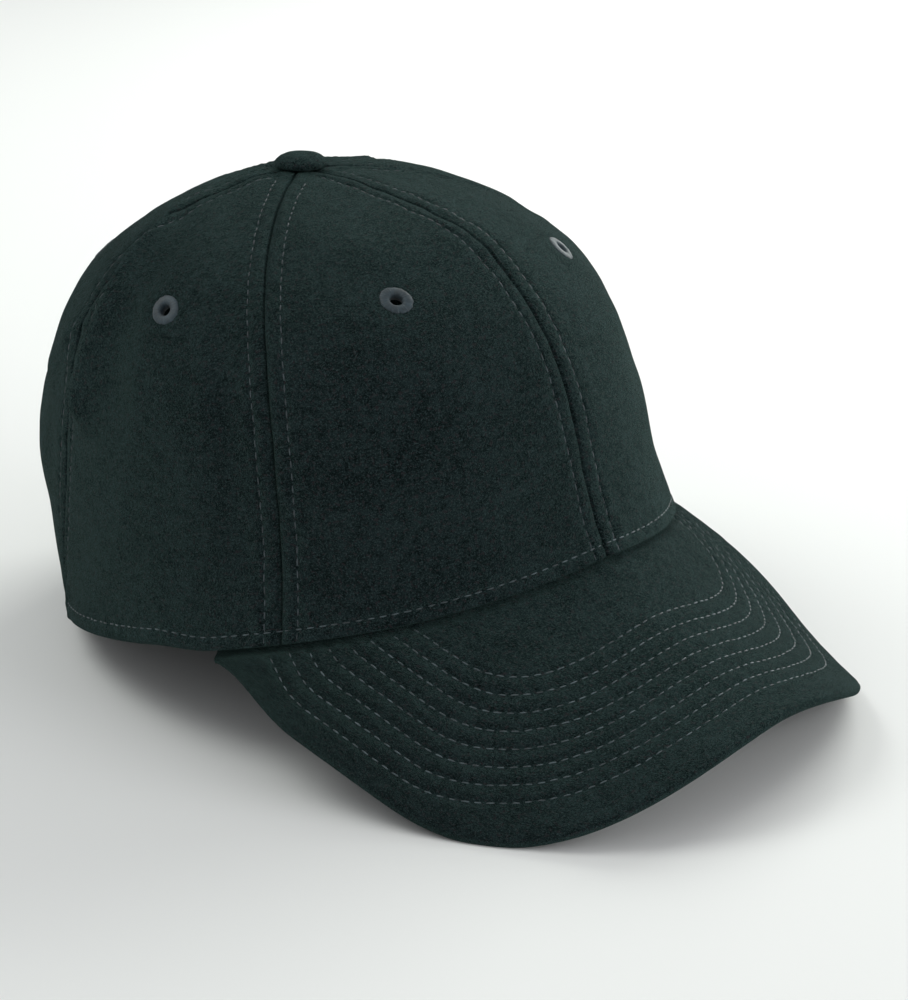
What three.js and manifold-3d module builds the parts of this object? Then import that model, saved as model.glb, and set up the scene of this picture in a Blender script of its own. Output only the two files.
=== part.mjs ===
import * as THREE from 'three';
import { mergeVertices } from 'three/addons/utils/BufferGeometryUtils.js';
import Module from 'manifold-3d';

// A six-panel peaked cap in thick wool felt, lying on a level surface.
// Millimetres, +Z up. The peak points towards -Y and the wearer's left is +X.
// It rests on the rear of its rim, at height 0, and on the two low points of the peak.
//
// Two coordinates run over the crown. An angle is measured round it from the front, in
// degrees, positive to the wearer's right. A level runs from 0 at the rim to 1 at the top.

const { clamp, degToRad, lerp, radToDeg, smoothstep } = THREE.MathUtils;
const wasm = await Module();
wasm.setup();

// Driving dimensions

const FELT_WALL = 1.8;
const GAP = 0.3; // left between two sewn pieces

// The crown at even steps of level: height above the rim, and half widths from the middle.
const SECTIONS = [
  { height: 0, side: 87.6, front: 84.4, back: 99 },
  { height: 28, side: 83.4, front: 84, back: 103.9 },
  { height: 61, side: 80.3, front: 82.9, back: 100.5 },
  { height: 92.5, side: 74.5, front: 77.7, back: 84.4 },
  { height: 114.7, side: 59, front: 67.2, back: 56.5 },
  { height: 128.6, side: 31.6, front: 48.9, back: 27.5 },
  { height: 133.3, side: 0, front: 0, back: 0 },
];
const TOP_SETBACK = 31.5; // the top lies this far behind the middle of the rim
const FRONT_SQUARENESS = 1.84; // exponent of the rim's superellipse, 2 for an ellipse
const TOP_SQUARENESS = 1.69; // the front's exponent at the top
const BACK_SQUARENESS = 1.93;
const LEAST_REACH = 0.01; // keeps the rings from closing to a point at the top

// The seams' angles on the right half of the crown. The left half mirrors them.
const SEAMS = [
  { rim: 0, middle: 0, top: 0 },
  { rim: 63.4, middle: 59.9, top: 64.5 },
  { rim: 133, middle: 114, top: 116 },
  { rim: 180, middle: 180, top: 180 },
];
const SEAM_MIDDLE = 0.6; // the level of the middle angles
const PANELS = [
  { name: 'front', from: 0, to: 1 },
  { name: 'side', from: 1, to: 2 },
  { name: 'back', from: 2, to: 3 },
];
const PANEL_BULGE = 0.9; // how far the middle of a panel stands out beyond its seams

// Soft folds, each along a line from one angle and level to another, mirrored left to right.
const FOLDS = [
  { fromAngle: 121, fromLevel: 0.82, toAngle: 108, toLevel: 0.73, width: 5.5, push: 2.4 },
  { fromAngle: 108, fromLevel: 0.73, toAngle: 104, toLevel: 0.6, width: 5.5, push: 2.8 },
  { fromAngle: 104, fromLevel: 0.6, toAngle: 109, toLevel: 0.4, width: 6, push: 2.8 },
  { fromAngle: 94, fromLevel: 0.74, toAngle: 97, toLevel: 0.44, width: 7, push: -1.5 },
  { fromAngle: 110, fromLevel: 0.57, toAngle: 132, toLevel: 0.42, width: 5.5, push: 1.4 },
  { fromAngle: 69, fromLevel: 0.72, toAngle: 68, toLevel: 0.2, width: 7, push: -1.2 },
  { fromAngle: 150, fromLevel: 0.45, toAngle: 166, toLevel: 0.2, width: 14, push: -2.4 },
  { fromAngle: 140, fromLevel: 0.3, toAngle: 172, toLevel: 0.5, width: 12, push: 1.8 },
];
const FOLD_GIRTH = 88; // the crown's radius where a fold's width is measured
const FOLD_LENGTH = 190; // the length of a panel from rim to top
const RELIEF_START = 0.15; // bulges and folds are whole above this level
const RELIEF_FADE = 0.8; // and die out between this level and the next
const RELIEF_END = 0.97;

// The rim stands on the rear, rises towards the front and runs into the peak.
const RIM_SLOPE = 0.276;
const REAR_SINK = 2.1; // the rear is pressed flat over this height
const RIM_BLEND = 13.8; // degrees behind the peak's corners where the rim leaves the peak

// The peak's upper surface falls forwards from the crown and arches from side to side.
const PEAK = {
  corner: 76,
  crownHeight: 47.3,
  fall: 0.719,
  hollow: 27.5,
  arch: 46.5,
  archLoss: 1.1,
  archPower: 1.614,
  powerGain: 0.27, // the arch's exponent gains this much over the span
  gainFrom: -0.3, // between these shares of the span
  gainTo: 1.2,
  tip: 143.5,
  flare: 5,
  flareEnd: 0.25, // the flare has died out at this share of the way from a corner
  squareness: 2.56,
  thickness: 3.2,
  edgeShare: 0.4, // the edge's rounding takes no more than this share of a column
  edgeTurn: 75, // degrees that the edge's rounding turns before it closes
};
const PEAK_SPAN = 70; // the length over which hollow and archLoss are stated
const PEAK_HALF_WIDTH = 90; // the half width at which arch is stated
const PEAK_SEAT = 0.5; // height left between the crown's front rim and the peak

const BUTTON = {
  radius: 7.4,
  rise: 3.4,
  side: 0.6, // height of its upright side
  undercut: 1, // the seat is this much smaller
  stem: 3,
  foot: 6,
  footDepth: 1.1,
  hole: 3.9,
};
const EYELETS = [
  { name: 'front', angle: 29, level: 0.634 },
  { name: 'side', angle: 85, level: 0.597 },
  { name: 'back', angle: 149, level: 0.6 },
];
const EYELET = {
  bore: 1.6,
  barrel: 2.2,
  hole: 2.6,
  ring: 4.3,
  seat: 0.2,
  rise: 0.8,
  foot: 3.4,
  depth: 2.7,
  round: 0.5,
};

const PANEL_COLUMNS = 12;
const PANEL_ROWS = 16;
const PEAK_COLUMNS = 44;
const PEAK_ROWS = 7;
const EDGE_ROWS = 3;
const DOME_ROWS = 7;
const BUTTON_SIDES = 24;
const HOLE_SIDES = 12;
const EYELET_SIDES = 14;
const HALVINGS = 24; // steps of a search by halving
const NORMAL_TURN = 0.5; // degrees each way over which a normal is taken
const NORMAL_STEP = 0.004; // levels each way
const SLOPE_STEP = 0.5; // millimetres each way

const FELT_COLOUR = 0x26312f;
const PEAK_COLOUR = 0x232e2c;
const THREAD_COLOUR = 0x77868b;

const SIDES = [
  { name: 'right', sign: 1 },
  { name: 'left', sign: -1 },
];

// Solids from grids and lathes

// A closed wall between two grids of points that share their columns and rows. Its edges
// are cut along the same diagonals at both ends, so that neighbouring walls lie parallel.
function wallGeometry(outside, inside) {
  const columns = outside.length;
  const rows = outside[0].length;
  const place = (column, row) => column * rows + row;
  const offset = columns * rows;
  const positions = [...outside.flat(), ...inside.flat()].flatMap((point) => point.toArray());
  const index = [];
  for (let column = 0; column < columns - 1; column++) {
    for (let row = 0; row < rows - 1; row++) {
      const a = place(column, row);
      const b = place(column, row + 1);
      const c = place(column + 1, row + 1);
      const d = place(column + 1, row);
      index.push(a, b, c, a, c, d);
      index.push(a + offset, c + offset, b + offset, a + offset, d + offset, c + offset);
    }
  }
  const border = [];
  for (let row = 0; row < rows - 1; row++) border.push(place(0, row));
  for (let column = 0; column < columns - 1; column++) border.push(place(column, rows - 1));
  for (let row = rows - 1; row > 0; row--) border.push(place(columns - 1, row));
  for (let column = columns - 1; column > 0; column--) border.push(place(column, 0));
  border.forEach((start, k) => {
    const end = border[(k + 1) % border.length];
    index.push(end, start, Math.min(start, end) + offset);
    index.push(Math.max(start, end), start + offset, end + offset);
  });
  const geometry = new THREE.BufferGeometry();
  geometry.setAttribute('position', new THREE.Float32BufferAttribute(positions, 3));
  geometry.setIndex(index);
  return geometry;
}

function toManifold(geometry) {
  const bare = geometry.clone();
  bare.deleteAttribute('normal');
  bare.deleteAttribute('uv');
  const merged = mergeVertices(bare);
  return new wasm.Manifold(new wasm.Mesh({
    numProp: 3,
    vertProperties: new Float32Array(merged.attributes.position.array),
    triVerts: new Uint32Array(merged.index.array),
  }));
}

function fromManifold(solid) {
  const mesh = solid.getMesh();
  const geometry = new THREE.BufferGeometry();
  geometry.setAttribute('position', new THREE.BufferAttribute(mesh.vertProperties, 3));
  geometry.setIndex(new THREE.BufferAttribute(mesh.triVerts, 1));
  return geometry;
}

// The crown's form

// A column of the section table at a level, as a smooth curve through its rows. Above the
// top the table is mirrored, so that the crown closes in a round dome.
function section(column, level) {
  const last = SECTIONS.length - 1;
  const value = (row) => {
    if (row < 0) return 2 * SECTIONS[0][column] - SECTIONS[1][column];
    if (row > last) return (column === 'height' ? 1 : -1) * SECTIONS[2 * last - row][column];
    return SECTIONS[row][column];
  };
  const row = Math.min(Math.floor(level * last), last - 1);
  const share = level * last - row;
  const [a, b, c, d] = [-1, 0, 1, 2].map((step) => value(row + step));
  const slope = c - a;
  const bend = 2 * a - 5 * b + 4 * c - d;
  const twist = 3 * b - a - 3 * c + d;
  return 0.5 * (2 * b + slope * share + bend * share ** 2 + twist * share ** 3);
}

// A seam's angle at a level, on the parabola through its three angles.
function seamAngle(index, level) {
  const { rim, middle, top } = SEAMS[index];
  const low = (level - SEAM_MIDDLE) * (level - 1) / SEAM_MIDDLE;
  const mid = level * (1 - level) / (SEAM_MIDDLE * (1 - SEAM_MIDDLE));
  const high = level * (level - SEAM_MIDDLE) / (1 - SEAM_MIDDLE);
  return rim * low + middle * mid + top * high;
}

// The push of one fold at a place on the crown: a soft ridge along the fold's line.
function foldPush(fold, angle, level) {
  const toPlane = (a, l) => new THREE.Vector2(degToRad(a) * FOLD_GIRTH, l * FOLD_LENGTH);
  const start = toPlane(fold.fromAngle, fold.fromLevel);
  const along = toPlane(fold.toAngle, fold.toLevel).sub(start);
  const offset = toPlane(angle, level).sub(start);
  const share = clamp(offset.dot(along) / along.lengthSq(), 0, 1);
  const distance = offset.addScaledVector(along, -share).length();
  return fold.push * Math.exp(-((distance / fold.width) ** 2));
}

// Panels bulge between their seams. On them lie the highest ridge and the deepest hollow of
// a place, so that folds which meet run on without a bump. All of it dies out at the rim.
function relief(angle, level) {
  const turn = Math.abs(angle);
  const panel = PANELS.find(({ to }) => turn <= seamAngle(to, level)) ?? PANELS.at(-1);
  const from = seamAngle(panel.from, level);
  const share = (turn - from) / (seamAngle(panel.to, level) - from);
  const bulge = PANEL_BULGE * (Math.sin(Math.PI * share) - 0.5);
  const pushes = FOLDS.map((fold) => foldPush(fold, turn, level));
  const folds = Math.max(0, ...pushes) + Math.min(0, ...pushes);
  const start = smoothstep(level, 0, RELIEF_START);
  const fade = 1 - smoothstep(level, RELIEF_FADE, RELIEF_END);
  return start * fade * (bulge + folds);
}

// A point of the ring at one level, seen from above.
function ringPoint(angle, level, inset = 0) {
  const cosine = Math.cos(degToRad(angle));
  const sine = Math.sin(degToRad(angle));
  const column = cosine > 0 ? 'front' : 'back';
  const frontPower = lerp(FRONT_SQUARENESS, TOP_SQUARENESS, level ** 2);
  const power = cosine > 0 ? frontPower : BACK_SQUARENESS;
  const reach = Math.max(section(column, level), LEAST_REACH);
  const side = Math.max(section('side', level), LEAST_REACH);
  const sum = Math.abs(cosine / reach) ** power + Math.abs(sine / side) ** power;
  const radius = sum ** (-1 / power) + relief(angle, level) - inset;
  return new THREE.Vector2(-radius * sine, TOP_SETBACK * level - radius * cosine);
}

// Height of the peak's upper surface over a point of the plan.
function peakHeight(x, y) {
  const forward = -SECTIONS[0].front - y;
  const span = forward / PEAK_SPAN;
  const gain = PEAK.powerGain * clamp(span, PEAK.gainFrom, PEAK.gainTo);
  const across = (Math.abs(x) / PEAK_HALF_WIDTH) ** (PEAK.archPower + gain);
  const middle = PEAK.crownHeight - PEAK.fall * forward + PEAK.hollow * span * Math.abs(span);
  return middle - (PEAK.arch - PEAK.archLoss * span) * across;
}

// Height of the crown's lower edge: on the peak in front, flat on the surface behind.
function rimHeight(x, y, angle) {
  const onPeak = 1 - smoothstep(Math.abs(angle), PEAK.corner, PEAK.corner + RIM_BLEND);
  const rear = Math.max(0, RIM_SLOPE * (SECTIONS[0].back - y) - REAR_SINK);
  return lerp(rear, peakHeight(x, y) + PEAK_SEAT, onPeak);
}

function crownPoint(angle, level) {
  const plan = ringPoint(angle, level);
  const rim = ringPoint(angle, 0);
  const height = section('height', level) + (1 - level) ** 2 * rimHeight(rim.x, rim.y, angle);
  return new THREE.Vector3(plan.x, plan.y, height);
}

function crownNormal(angle, level) {
  const low = Math.max(level - NORMAL_STEP, 0);
  const high = Math.min(level + NORMAL_STEP, 1);
  const left = crownPoint(angle - NORMAL_TURN, level);
  const round = crownPoint(angle + NORMAL_TURN, level).sub(left);
  const up = crownPoint(angle, high).sub(crownPoint(angle, low));
  return up.cross(round).normalize();
}

// The wall's inner face, a felt thickness behind the outer one, level with it at the rim.
function crownInnerPoint(angle, level) {
  const inner = crownPoint(angle, level).addScaledVector(crownNormal(angle, level), -FELT_WALL);
  if (level === 0) inner.z = rimHeight(inner.x, inner.y, angle);
  return inner;
}

// The level at which the crown is a given distance from its top, found by halving.
function levelAtRadius(angle, radius) {
  const top = new THREE.Vector2(0, TOP_SETBACK);
  let low = RELIEF_FADE;
  let high = 1;
  for (let step = 0; step < HALVINGS; step++) {
    const middle = (low + high) / 2;
    if (ringPoint(angle, middle).distanceTo(top) > radius) low = middle;
    else high = middle;
  }
  return low;
}

// The pieces

function panelGeometry(panel, sign) {
  const outside = [];
  const inside = [];
  for (let column = 0; column <= PANEL_COLUMNS; column++) {
    const share = sign > 0 ? column / PANEL_COLUMNS : 1 - column / PANEL_COLUMNS;
    const angleAt = (level) => {
      const angle = lerp(seamAngle(panel.from, level), seamAngle(panel.to, level), share);
      const radius = ringPoint(angle, level).distanceTo(ringPoint(angle + 180, level)) / 2;
      const half = radToDeg(GAP / 2 / radius);
      return sign * (angle + (1 - 2 * share) * half);
    };
    const end = levelAtRadius(angleAt(1 - 1 / PANEL_ROWS), BUTTON.hole);
    const levels = Array.from({ length: PANEL_ROWS + 1 }, (_, row) => end * row / PANEL_ROWS);
    outside.push(levels.map((level) => crownPoint(angleAt(level), level)));
    inside.push(levels.map((level) => crownInnerPoint(angleAt(level), level)));
  }
  return wallGeometry(outside, inside);
}

// Turns a piece made along Y so that it stands on the crown along the wall's normal.
function standOnCrown(object, angle, level) {
  const normal = crownNormal(angle, level);
  object.position.copy(crownPoint(angle, level));
  object.quaternion.setFromUnitVectors(new THREE.Vector3(0, 1, 0), normal);
  object.updateMatrix();
  return object;
}

function pierced(geometry, angle, level) {
  const drill = new THREE.CylinderGeometry(EYELET.hole, EYELET.hole, 6 * FELT_WALL, HOLE_SIDES);
  const place = standOnCrown(new THREE.Object3D(), angle, level);
  drill.applyMatrix4(place.matrix);
  return fromManifold(toManifold(geometry).subtract(toManifold(drill)));
}

// The peak's edge seen from above, at a share of -1 to 1 from corner to corner.
function peakEdge(share) {
  const corner = ringPoint(PEAK.corner, 0);
  const halfWidth = Math.abs(corner.x);
  const reach = PEAK.tip + corner.y;
  const turn = (Math.PI / 2) * (1 - Math.abs(share));
  const sum = Math.abs(Math.cos(turn) / halfWidth) ** PEAK.squareness
    + Math.abs(Math.sin(turn) / reach) ** PEAK.squareness;
  const radius = sum ** (-1 / PEAK.squareness);
  const flare = 1 + (PEAK.flare / halfWidth) * smoothstep(1 - Math.abs(share), 0, PEAK.flareEnd);
  const x = -Math.sign(share) * radius * Math.cos(turn) * flare;
  return new THREE.Vector2(x, corner.y - radius * Math.sin(turn));
}

function peakPoint(share, along) {
  const inner = ringPoint(share * PEAK.corner, 0, FELT_WALL);
  const plan = inner.lerp(peakEdge(share), along);
  return new THREE.Vector3(plan.x, plan.y, peakHeight(plan.x, plan.y));
}

function peakNormal(point) {
  const step = SLOPE_STEP;
  const slopeX = peakHeight(point.x + step, point.y) - peakHeight(point.x - step, point.y);
  const slopeY = peakHeight(point.x, point.y + step) - peakHeight(point.x, point.y - step);
  return new THREE.Vector3(-slopeX, -slopeY, 2 * step).normalize();
}

// Two rows of points round the peak's section: its faces run parallel and close in a
// round edge, and what would pass below the surface it lies on is pressed flat.
function peakGeometry() {
  const half = PEAK.thickness / 2;
  const upper = [];
  const lower = [];
  for (let column = 0; column <= PEAK_COLUMNS; column++) {
    const share = 1 - (2 * column) / PEAK_COLUMNS;
    const length = peakPoint(share, 0).distanceTo(peakPoint(share, 1));
    const edge = Math.min(half, PEAK.edgeShare * length) / length;
    const stations = [];
    for (let row = 0; row <= PEAK_ROWS; row++) {
      stations.push({ along: (1 - edge) * row / PEAK_ROWS, thick: 1 });
    }
    for (let row = 1; row <= EDGE_ROWS; row++) {
      const turn = (row / EDGE_ROWS) * degToRad(PEAK.edgeTurn);
      stations.push({ along: 1 - edge * (1 - Math.sin(turn)), thick: Math.cos(turn) });
    }
    const faces = stations.map(({ along, thick }) => {
      const top = peakPoint(share, along);
      const normal = peakNormal(top);
      const middle = top.clone().addScaledVector(normal, -half);
      const above = middle.clone().addScaledVector(normal, half * thick);
      const below = middle.addScaledVector(normal, -half * thick);
      below.z = Math.max(below.z, 0);
      return { above, below };
    });
    upper.push(faces.map(({ above }) => above));
    lower.push(faces.map(({ below }) => below));
  }
  return wallGeometry(upper, lower);
}

// A covered dome on the top, with a stem through the hole and a foot under the felt.
function buttonGeometry() {
  const top = section('height', 1);
  const seat = top + GAP;
  const under = top - FELT_WALL - 2 * GAP;
  const profile = [
    new THREE.Vector2(0, under - BUTTON.footDepth),
    new THREE.Vector2(BUTTON.foot, under - BUTTON.footDepth),
    new THREE.Vector2(BUTTON.foot, under),
    new THREE.Vector2(BUTTON.stem, under),
    new THREE.Vector2(BUTTON.stem, seat),
    new THREE.Vector2(BUTTON.radius - BUTTON.undercut, seat),
  ];
  for (let row = 0; row <= DOME_ROWS; row++) {
    const turn = (row / DOME_ROWS) * (Math.PI / 2);
    const radius = row === DOME_ROWS ? 0 : BUTTON.radius * Math.cos(turn);
    const rise = BUTTON.side + (BUTTON.rise - BUTTON.side) * Math.sin(turn);
    profile.push(new THREE.Vector2(radius, seat + rise));
  }
  return new THREE.LatheGeometry(profile, BUTTON_SIDES);
}

// A sewn ring, made along Y with the panel's outer face at height 0.
function eyeletGeometry() {
  const { bore, barrel, ring, seat, rise, foot, depth, round } = EYELET;
  const profile = [
    [bore, -depth - round],
    [foot, -depth - round],
    [foot, -depth],
    [barrel, -depth],
    [barrel, seat],
    [ring, seat],
    [ring - round, rise],
    [bore + round, rise],
    [bore, seat],
    [bore, -depth - round],
  ];
  const points = profile.map(([x, y]) => new THREE.Vector2(x, y));
  return new THREE.LatheGeometry(points, EYELET_SIDES);
}

function fabricMesh(name, geometry, color) {
  const material = new THREE.MeshStandardMaterial({ color, roughness: 0.95, metalness: 0 });
  const mesh = new THREE.Mesh(geometry, material);
  mesh.name = name;
  return mesh;
}

const cap = new THREE.Group();

PANELS.forEach((panel, index) => {
  const { angle, level } = EYELETS[index];
  for (const side of SIDES) {
    const geometry = pierced(panelGeometry(panel, side.sign), side.sign * angle, level);
    cap.add(fabricMesh(`panel_${panel.name}_${side.name}`, geometry, FELT_COLOUR));
  }
});

cap.add(fabricMesh('peak', peakGeometry(), PEAK_COLOUR));

const button = fabricMesh('button', buttonGeometry(), FELT_COLOUR);
button.rotation.x = Math.PI / 2;
button.position.y = TOP_SETBACK;
cap.add(button);

for (const { name, angle, level } of EYELETS) {
  for (const side of SIDES) {
    const eyelet = fabricMesh(`eyelet_${name}_${side.name}`, eyeletGeometry(), THREAD_COLOUR);
    cap.add(standOnCrown(eyelet, side.sign * angle, level));
  }
}

// The origin goes under the middle of the cap, seen from above.
const bounds = new THREE.Box3().setFromObject(cap);
cap.position.y = -(bounds.min.y + bounds.max.y) / 2;

export default cap;
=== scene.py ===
"""A six-panel peaked cap in thick dark wool felt, lying on a pale floor.

The cap's form is worked out in millimetres from its own tables, with the crown's middle
at the origin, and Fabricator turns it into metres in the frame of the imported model. Two
coordinates run over the crown: an angle in degrees round it from the front, positive to
the wearer's right, and a level from 0 at the rim to 1 at the top.
"""

import logging
from dataclasses import dataclass
from enum import Enum
from typing import Any, Sequence

import bpy
import numpy as np
from mathutils import Euler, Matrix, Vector


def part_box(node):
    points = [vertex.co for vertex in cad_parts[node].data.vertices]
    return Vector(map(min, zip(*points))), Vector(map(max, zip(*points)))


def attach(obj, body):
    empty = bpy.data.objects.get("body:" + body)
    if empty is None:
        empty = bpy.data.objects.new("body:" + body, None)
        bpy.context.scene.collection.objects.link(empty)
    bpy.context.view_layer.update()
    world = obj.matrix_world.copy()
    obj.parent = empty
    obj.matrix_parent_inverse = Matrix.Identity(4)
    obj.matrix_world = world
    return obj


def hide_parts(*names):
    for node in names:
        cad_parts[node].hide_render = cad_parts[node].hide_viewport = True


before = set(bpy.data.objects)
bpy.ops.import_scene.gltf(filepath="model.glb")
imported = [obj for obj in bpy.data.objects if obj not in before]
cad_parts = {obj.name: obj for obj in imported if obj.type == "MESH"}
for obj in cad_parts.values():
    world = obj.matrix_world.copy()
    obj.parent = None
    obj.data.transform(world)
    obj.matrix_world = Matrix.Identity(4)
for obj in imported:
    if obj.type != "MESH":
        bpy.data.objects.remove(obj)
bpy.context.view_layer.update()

BODY = "root"
MM = 0.001
FLOOR_GAP = 0.02
FELT_WALL = 1.8
BUTTON_HOLE = 3.9
SEAM_ROW = 4.6
HEM_ROW = 4.4

Array = np.ndarray
Pair = tuple[float, float]
Triple = tuple[float, float, float]
log = logging.getLogger("cap")


class Side(Enum):
    """A half of the cap, as the wearer has it, with the sign of its angles."""

    RIGHT = ("right", 1)
    LEFT = ("left", -1)

    def __init__(self, label: str, sign: int) -> None:
        """Keeps the word for this side and the sign of its angles."""
        self.label = label
        self.sign = sign


def smoothstep(value: Array, low: float, high: float) -> Array:
    """A smooth rise from 0 at low to 1 at high.

    Args:
        value: The values to look up.
        low: Where the rise starts.
        high: Where it ends.

    Returns:
        3s² - 2s³ of the share s between low and high.
    """
    share = np.clip((value - low) / (high - low), 0.0, 1.0)
    return share * share * (3.0 - 2.0 * share)


def ridge(distance: Array, centre: float, width: float) -> Array:
    """A soft ridge: e to the power of minus the square of (distance - centre) / width."""
    return np.exp(-(((distance - centre) / width) ** 2))


def unit(vectors: Array) -> Array:
    """The vectors at length 1."""
    return vectors / np.maximum(np.linalg.norm(vectors, axis=-1, keepdims=True), 1e-12)


def running_length(points: Array, axis: int) -> Array:
    """The length along a grid of points, added up from the start of one axis.

    Args:
        points: A grid of points with their coordinates in the last axis.
        axis: The axis to run along.

    Returns:
        The length at each point, 0 at the start.
    """
    steps = np.linalg.norm(np.diff(points, axis=axis), axis=-1)
    pad = [(0, 0)] * steps.ndim
    pad[axis] = (1, 0)
    return np.cumsum(np.pad(steps, pad), axis=axis)


def crowded(count: int, places: Sequence[Triple]) -> Array:
    """Steps from 0 to 1 that crowd round some places.

    The steps' density is 1 plus, for each place, its strength times a ridge round it, and
    the running sum of the density is shared out evenly.

    Args:
        count: How many steps.
        places: For each place where it is, its strength and its width.

    Returns:
        The count + 1 values.
    """
    fine = np.linspace(0, 1, 4001)
    density = 1 + sum(strength * ridge(fine, place, width) for place, strength, width in places)
    total = np.concatenate([[0], np.cumsum((density[1:] + density[:-1]) / 2)])
    return np.interp(np.linspace(0, total[-1], count + 1), total, fine)


def wrapped(angle: Array) -> Array:
    """Angles in degrees, brought to -180 to 180."""
    return (angle + 180.0) % 360.0 - 180.0


def catmull_rom(rows: Sequence[Array], share: Array) -> Array:
    """A smooth cubic from the second of four rows to the third, at a share of the way."""
    a, b, c, d = rows
    bend = 2 * a - 5 * b + 4 * c - d
    twist = 3 * b - a - 3 * c + d
    return 0.5 * (2 * b + (c - a) * share + bend * share**2 + twist * share**3)


@dataclass(frozen=True)
class Swell:
    """A soft ridge, or a hollow of negative height, at a distance from a seam or edge."""

    height: float
    place: float
    width: float

    def over(self, distance: Array) -> Array:
        """Its height at each distance."""
        return self.height * ridge(distance, self.place, self.width)


@dataclass(frozen=True)
class Waves:
    """An uneven surface: the mean of plane waves in seeded directions.

    Each wave is the sine of 2 pi times the distance in its direction over its length,
    which lies within a third of the given size.
    """

    height: float
    size: float
    seed: int
    count: int = 9
    shortest: float = 0.67
    spread: float = 0.66

    def over(self, across: Array, along: Array) -> Array:
        """The waves' height at each place over the cloth, in millimetres."""
        draw = np.random.default_rng(self.seed)
        total = np.zeros(np.broadcast(across, along).shape)
        for turn, stretch, phase in draw.random((self.count, 3)):
            length = self.size * (self.shortest + self.spread * stretch)
            way = across * np.cos(2 * np.pi * turn) + along * np.sin(2 * np.pi * turn)
            total += np.sin(2 * np.pi * (way / length + phase))
        return self.height * total / np.sqrt(self.count)


@dataclass(frozen=True)
class Fold:
    """A soft ridge or hollow along a line over the crown, mirrored left to right."""

    from_angle: float
    from_level: float
    to_angle: float
    to_level: float
    width: float
    push: float


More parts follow.
